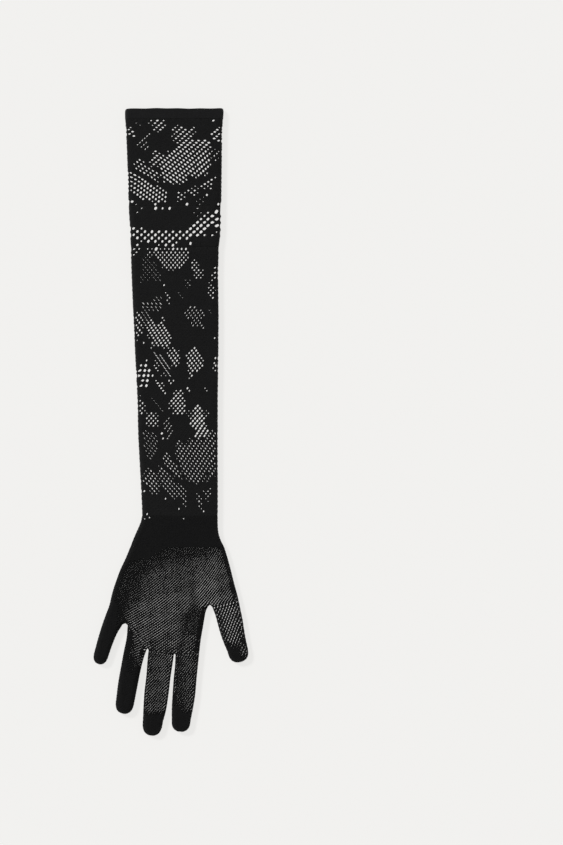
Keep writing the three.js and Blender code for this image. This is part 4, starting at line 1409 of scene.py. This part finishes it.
# %% The yarn
Yarn = namedtuple("Yarn", "name dark light sheen")
Noise = namedtuple("Noise", "scale detail")
Shares = namedtuple("Shares", "relief fuzz patches")
WALE = 1.0 * MM
COURSE = 0.75 * MM
SLANT = 1.1
RELIEF = 0.4 * MM
FUZZ = Noise(scale=1400.0, detail=2.0)
PATCHES = Noise(scale=220.0, detail=3.0)
# The relief share is painted shade, darker in the grooves of the knitting; the fuzz and patch
# shares are the yarn's own uneven tone.
GROOVE_SHADE_AND_TONE = Shares(relief=0.55, fuzz=0.2, patches=0.35)
RELIEF_BUMP = 0.75
FUZZ_BUMP = 0.25
ROUGHNESS = 0.75
FUZZ_ROUGHNESS = 0.2
SHEEN_ROUGHNESS = 0.5
SPECULAR = 0.2

# Which sockets a Mix node uses for colours
MIX_SHARE, MIX_FIRST, MIX_SECOND, MIX_RESULT = 0, 6, 7, 2


def knit_relief(x, y):
    """Height of plain knitting, 0 to 1. With s the distance from a column's middle as a share
    of its width, a leg is highest at s = 1/4, and y / course + slant * s runs along it."""
    aside = ((x / WALE).part() - 0.5).size()
    leg = 1.0 - (aside * 4.0 - 1.0) * (aside * 4.0 - 1.0)
    step = (y / COURSE + aside * SLANT).part() * 2.0 - 1.0
    return leg * (1.0 - step * step)


def noise(at, kind):
    """A noise texture in the object's own coordinates."""
    inputs = {"Vector": at, "Scale": kind.scale, "Detail": kind.detail}
    return at.node("ShaderNodeTexNoise", {}, inputs)


def make_yarn(kind):
    """Two near-black tones mixed by noise and by the relief as painted groove shade, under a bump
    and a sheen.
    """
    material = bpy.data.materials.new(kind.name)
    material.use_nodes = True
    tree = material.node_tree
    tree.nodes.clear()
    at = Value(tree.nodes.new("ShaderNodeTexCoord").outputs["Object"])
    x, y = (at.node("ShaderNodeSeparateXYZ", {}, {"Vector": at}, output=axis) for axis in "XY")
    relief = knit_relief(x, y)
    fuzz = noise(at, FUZZ)
    # Painted shade: the relief darkens the grooves; the two noises add the yarn's own uneven tone.
    groove_shade_and_tone = relief * GROOVE_SHADE_AND_TONE.relief + fuzz * GROOVE_SHADE_AND_TONE.fuzz + noise(at, PATCHES) * GROOVE_SHADE_AND_TONE.patches
    color = at.node("ShaderNodeMix", {"data_type": "RGBA"}, {
        MIX_SHARE: groove_shade_and_tone, MIX_FIRST: (*kind.dark, 1.0), MIX_SECOND: (*kind.light, 1.0),
    }, output=MIX_RESULT)
    bump = at.node("ShaderNodeBump", {}, {
        "Strength": 1.0, "Distance": RELIEF, "Height": relief * RELIEF_BUMP + fuzz * FUZZ_BUMP,
    }, output="Normal")
    shader = at.node("ShaderNodeBsdfPrincipled", {}, {
        "Base Color": color, "Roughness": ROUGHNESS + fuzz * FUZZ_ROUGHNESS, "Normal": bump,
        "Sheen Weight": kind.sheen, "Sheen Roughness": SHEEN_ROUGHNESS,
        "Specular IOR Level": SPECULAR,
    })
    out = tree.nodes.new("ShaderNodeOutputMaterial")
    tree.links.new(shader.socket, out.inputs["Surface"])
    return material


NET_YARN, LACE_YARN, HEM_YARN = (make_yarn(kind) for kind in [
    Yarn("net_yarn", (0.0006, 0.0006, 0.0007), (0.0075, 0.0075, 0.0078), sheen=0.02),
    Yarn("lace_yarn", (0.0013, 0.0013, 0.0014), (0.0128, 0.0128, 0.0132), sheen=0.028),
    Yarn("hem_yarn", (0.0022, 0.0022, 0.0024), (0.0155, 0.0155, 0.0162), sheen=0.045),
])

# %% Every piece gets its yarn, rides the glove and takes its node's place
PIECES = [
    (hem, HEM_YARN, "top_hem", True),
    (fan, LACE_YARN, "lace_sleeve", True),
    (band, LACE_YARN, "lace_sleeve", False),
    (flowers, LACE_YARN, "lace_sleeve", False),
    (leaves, LACE_YARN, "lace_sleeve", False),
    (wrist, NET_YARN, "wrist_band", True),
    (hand, NET_YARN, "hand", True),
]
PIECES += [(piece, NET_YARN, name, True) for name, piece in fingers.items()]
for piece, material, node, first in PIECES:
    piece.data.materials.append(material)
    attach(piece, "root")
    if first:
        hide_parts(node)
print("pieces:", len(PIECES))

# %% [markdown]
# ## Floor, light and camera
#
# The glove lies on a plain pale sheet, seen from straight above. Most of the sheet's brightness
# is painted light: it glows of its own, though it is no lamp, so that it stays bright in the
# shade under the glove, the holes of both layers show it as clear light, and the glove casts
# almost no shadow. A soft key light comes in low from the upper left, and rakes over the relief
# of the knitting.

# %% The pale sheet
FLOOR_HALF = 3.0
FLOOR_DROP = 0.4 * MM
SHEET_LOOK = {
    "Base Color": (0.15, 0.149, 0.147, 1.0),
    "Roughness": 0.9,
    "Specular IOR Level": 0.0,
    # The emission is painted light: it gives most of the sheet's brightness, also in the shade
    # under the glove.
    "Emission Color": (0.885, 0.878, 0.862, 1.0),
    "Emission Strength": 0.86,
}
floor_plan = np.array([(-1, -1), (1, -1), (1, 1), (-1, 1)]) * FLOOR_HALF
floor_mesh = bpy.data.meshes.new("floor")
floor_mesh.from_pydata([(x, y, -FLOOR_DROP) for x, y in floor_plan], [], [(0, 1, 2, 3)])
floor = bpy.data.objects.new("floor", floor_mesh)
bpy.context.scene.collection.objects.link(floor)

sheet = bpy.data.materials.new("pale_sheet")
sheet.use_nodes = True
for socket, value in SHEET_LOOK.items():
    sheet.node_tree.nodes["Principled BSDF"].inputs[socket].default_value = value
floor.data.materials.append(sheet)

# %% Light
WHITE = (1.0, 1.0, 1.0, 1.0)
WORLD_STRENGTH = 0.38
KEY_TILT = np.radians(50)
KEY_TURN = np.radians(50)
KEY_ENERGY = 2.2
KEY_SIZE = np.radians(12)
world = bpy.data.worlds.new("studio")
world.use_nodes = True
background = world.node_tree.nodes["Background"].inputs
background["Color"].default_value = WHITE
background["Strength"].default_value = WORLD_STRENGTH
bpy.context.scene.world = world

key_data = bpy.data.lights.new("key", "SUN")
key_data.energy = KEY_ENERGY
key_data.angle = KEY_SIZE
key = bpy.data.objects.new("key", key_data)
key.rotation_euler = (-KEY_TILT, 0.0, KEY_TURN)
bpy.context.scene.collection.objects.link(key)

# %% Camera
SENSOR = 36.0
CLIP_END = 20.0
camera_data = bpy.data.cameras.new("camera")
camera_data.sensor_width = SENSOR
camera_data.lens = SENSOR * CAMERA_HEIGHT / (PICTURE.max() * MM_PER_PIXEL)
camera_data.clip_end = CLIP_END
camera = bpy.data.objects.new("camera", camera_data)
camera.location = (*(camera_spot * MM), CAMERA_HEIGHT * MM)
bpy.context.scene.collection.objects.link(camera)
bpy.context.scene.camera = camera
bpy.context.scene.view_settings.view_transform = "Standard"
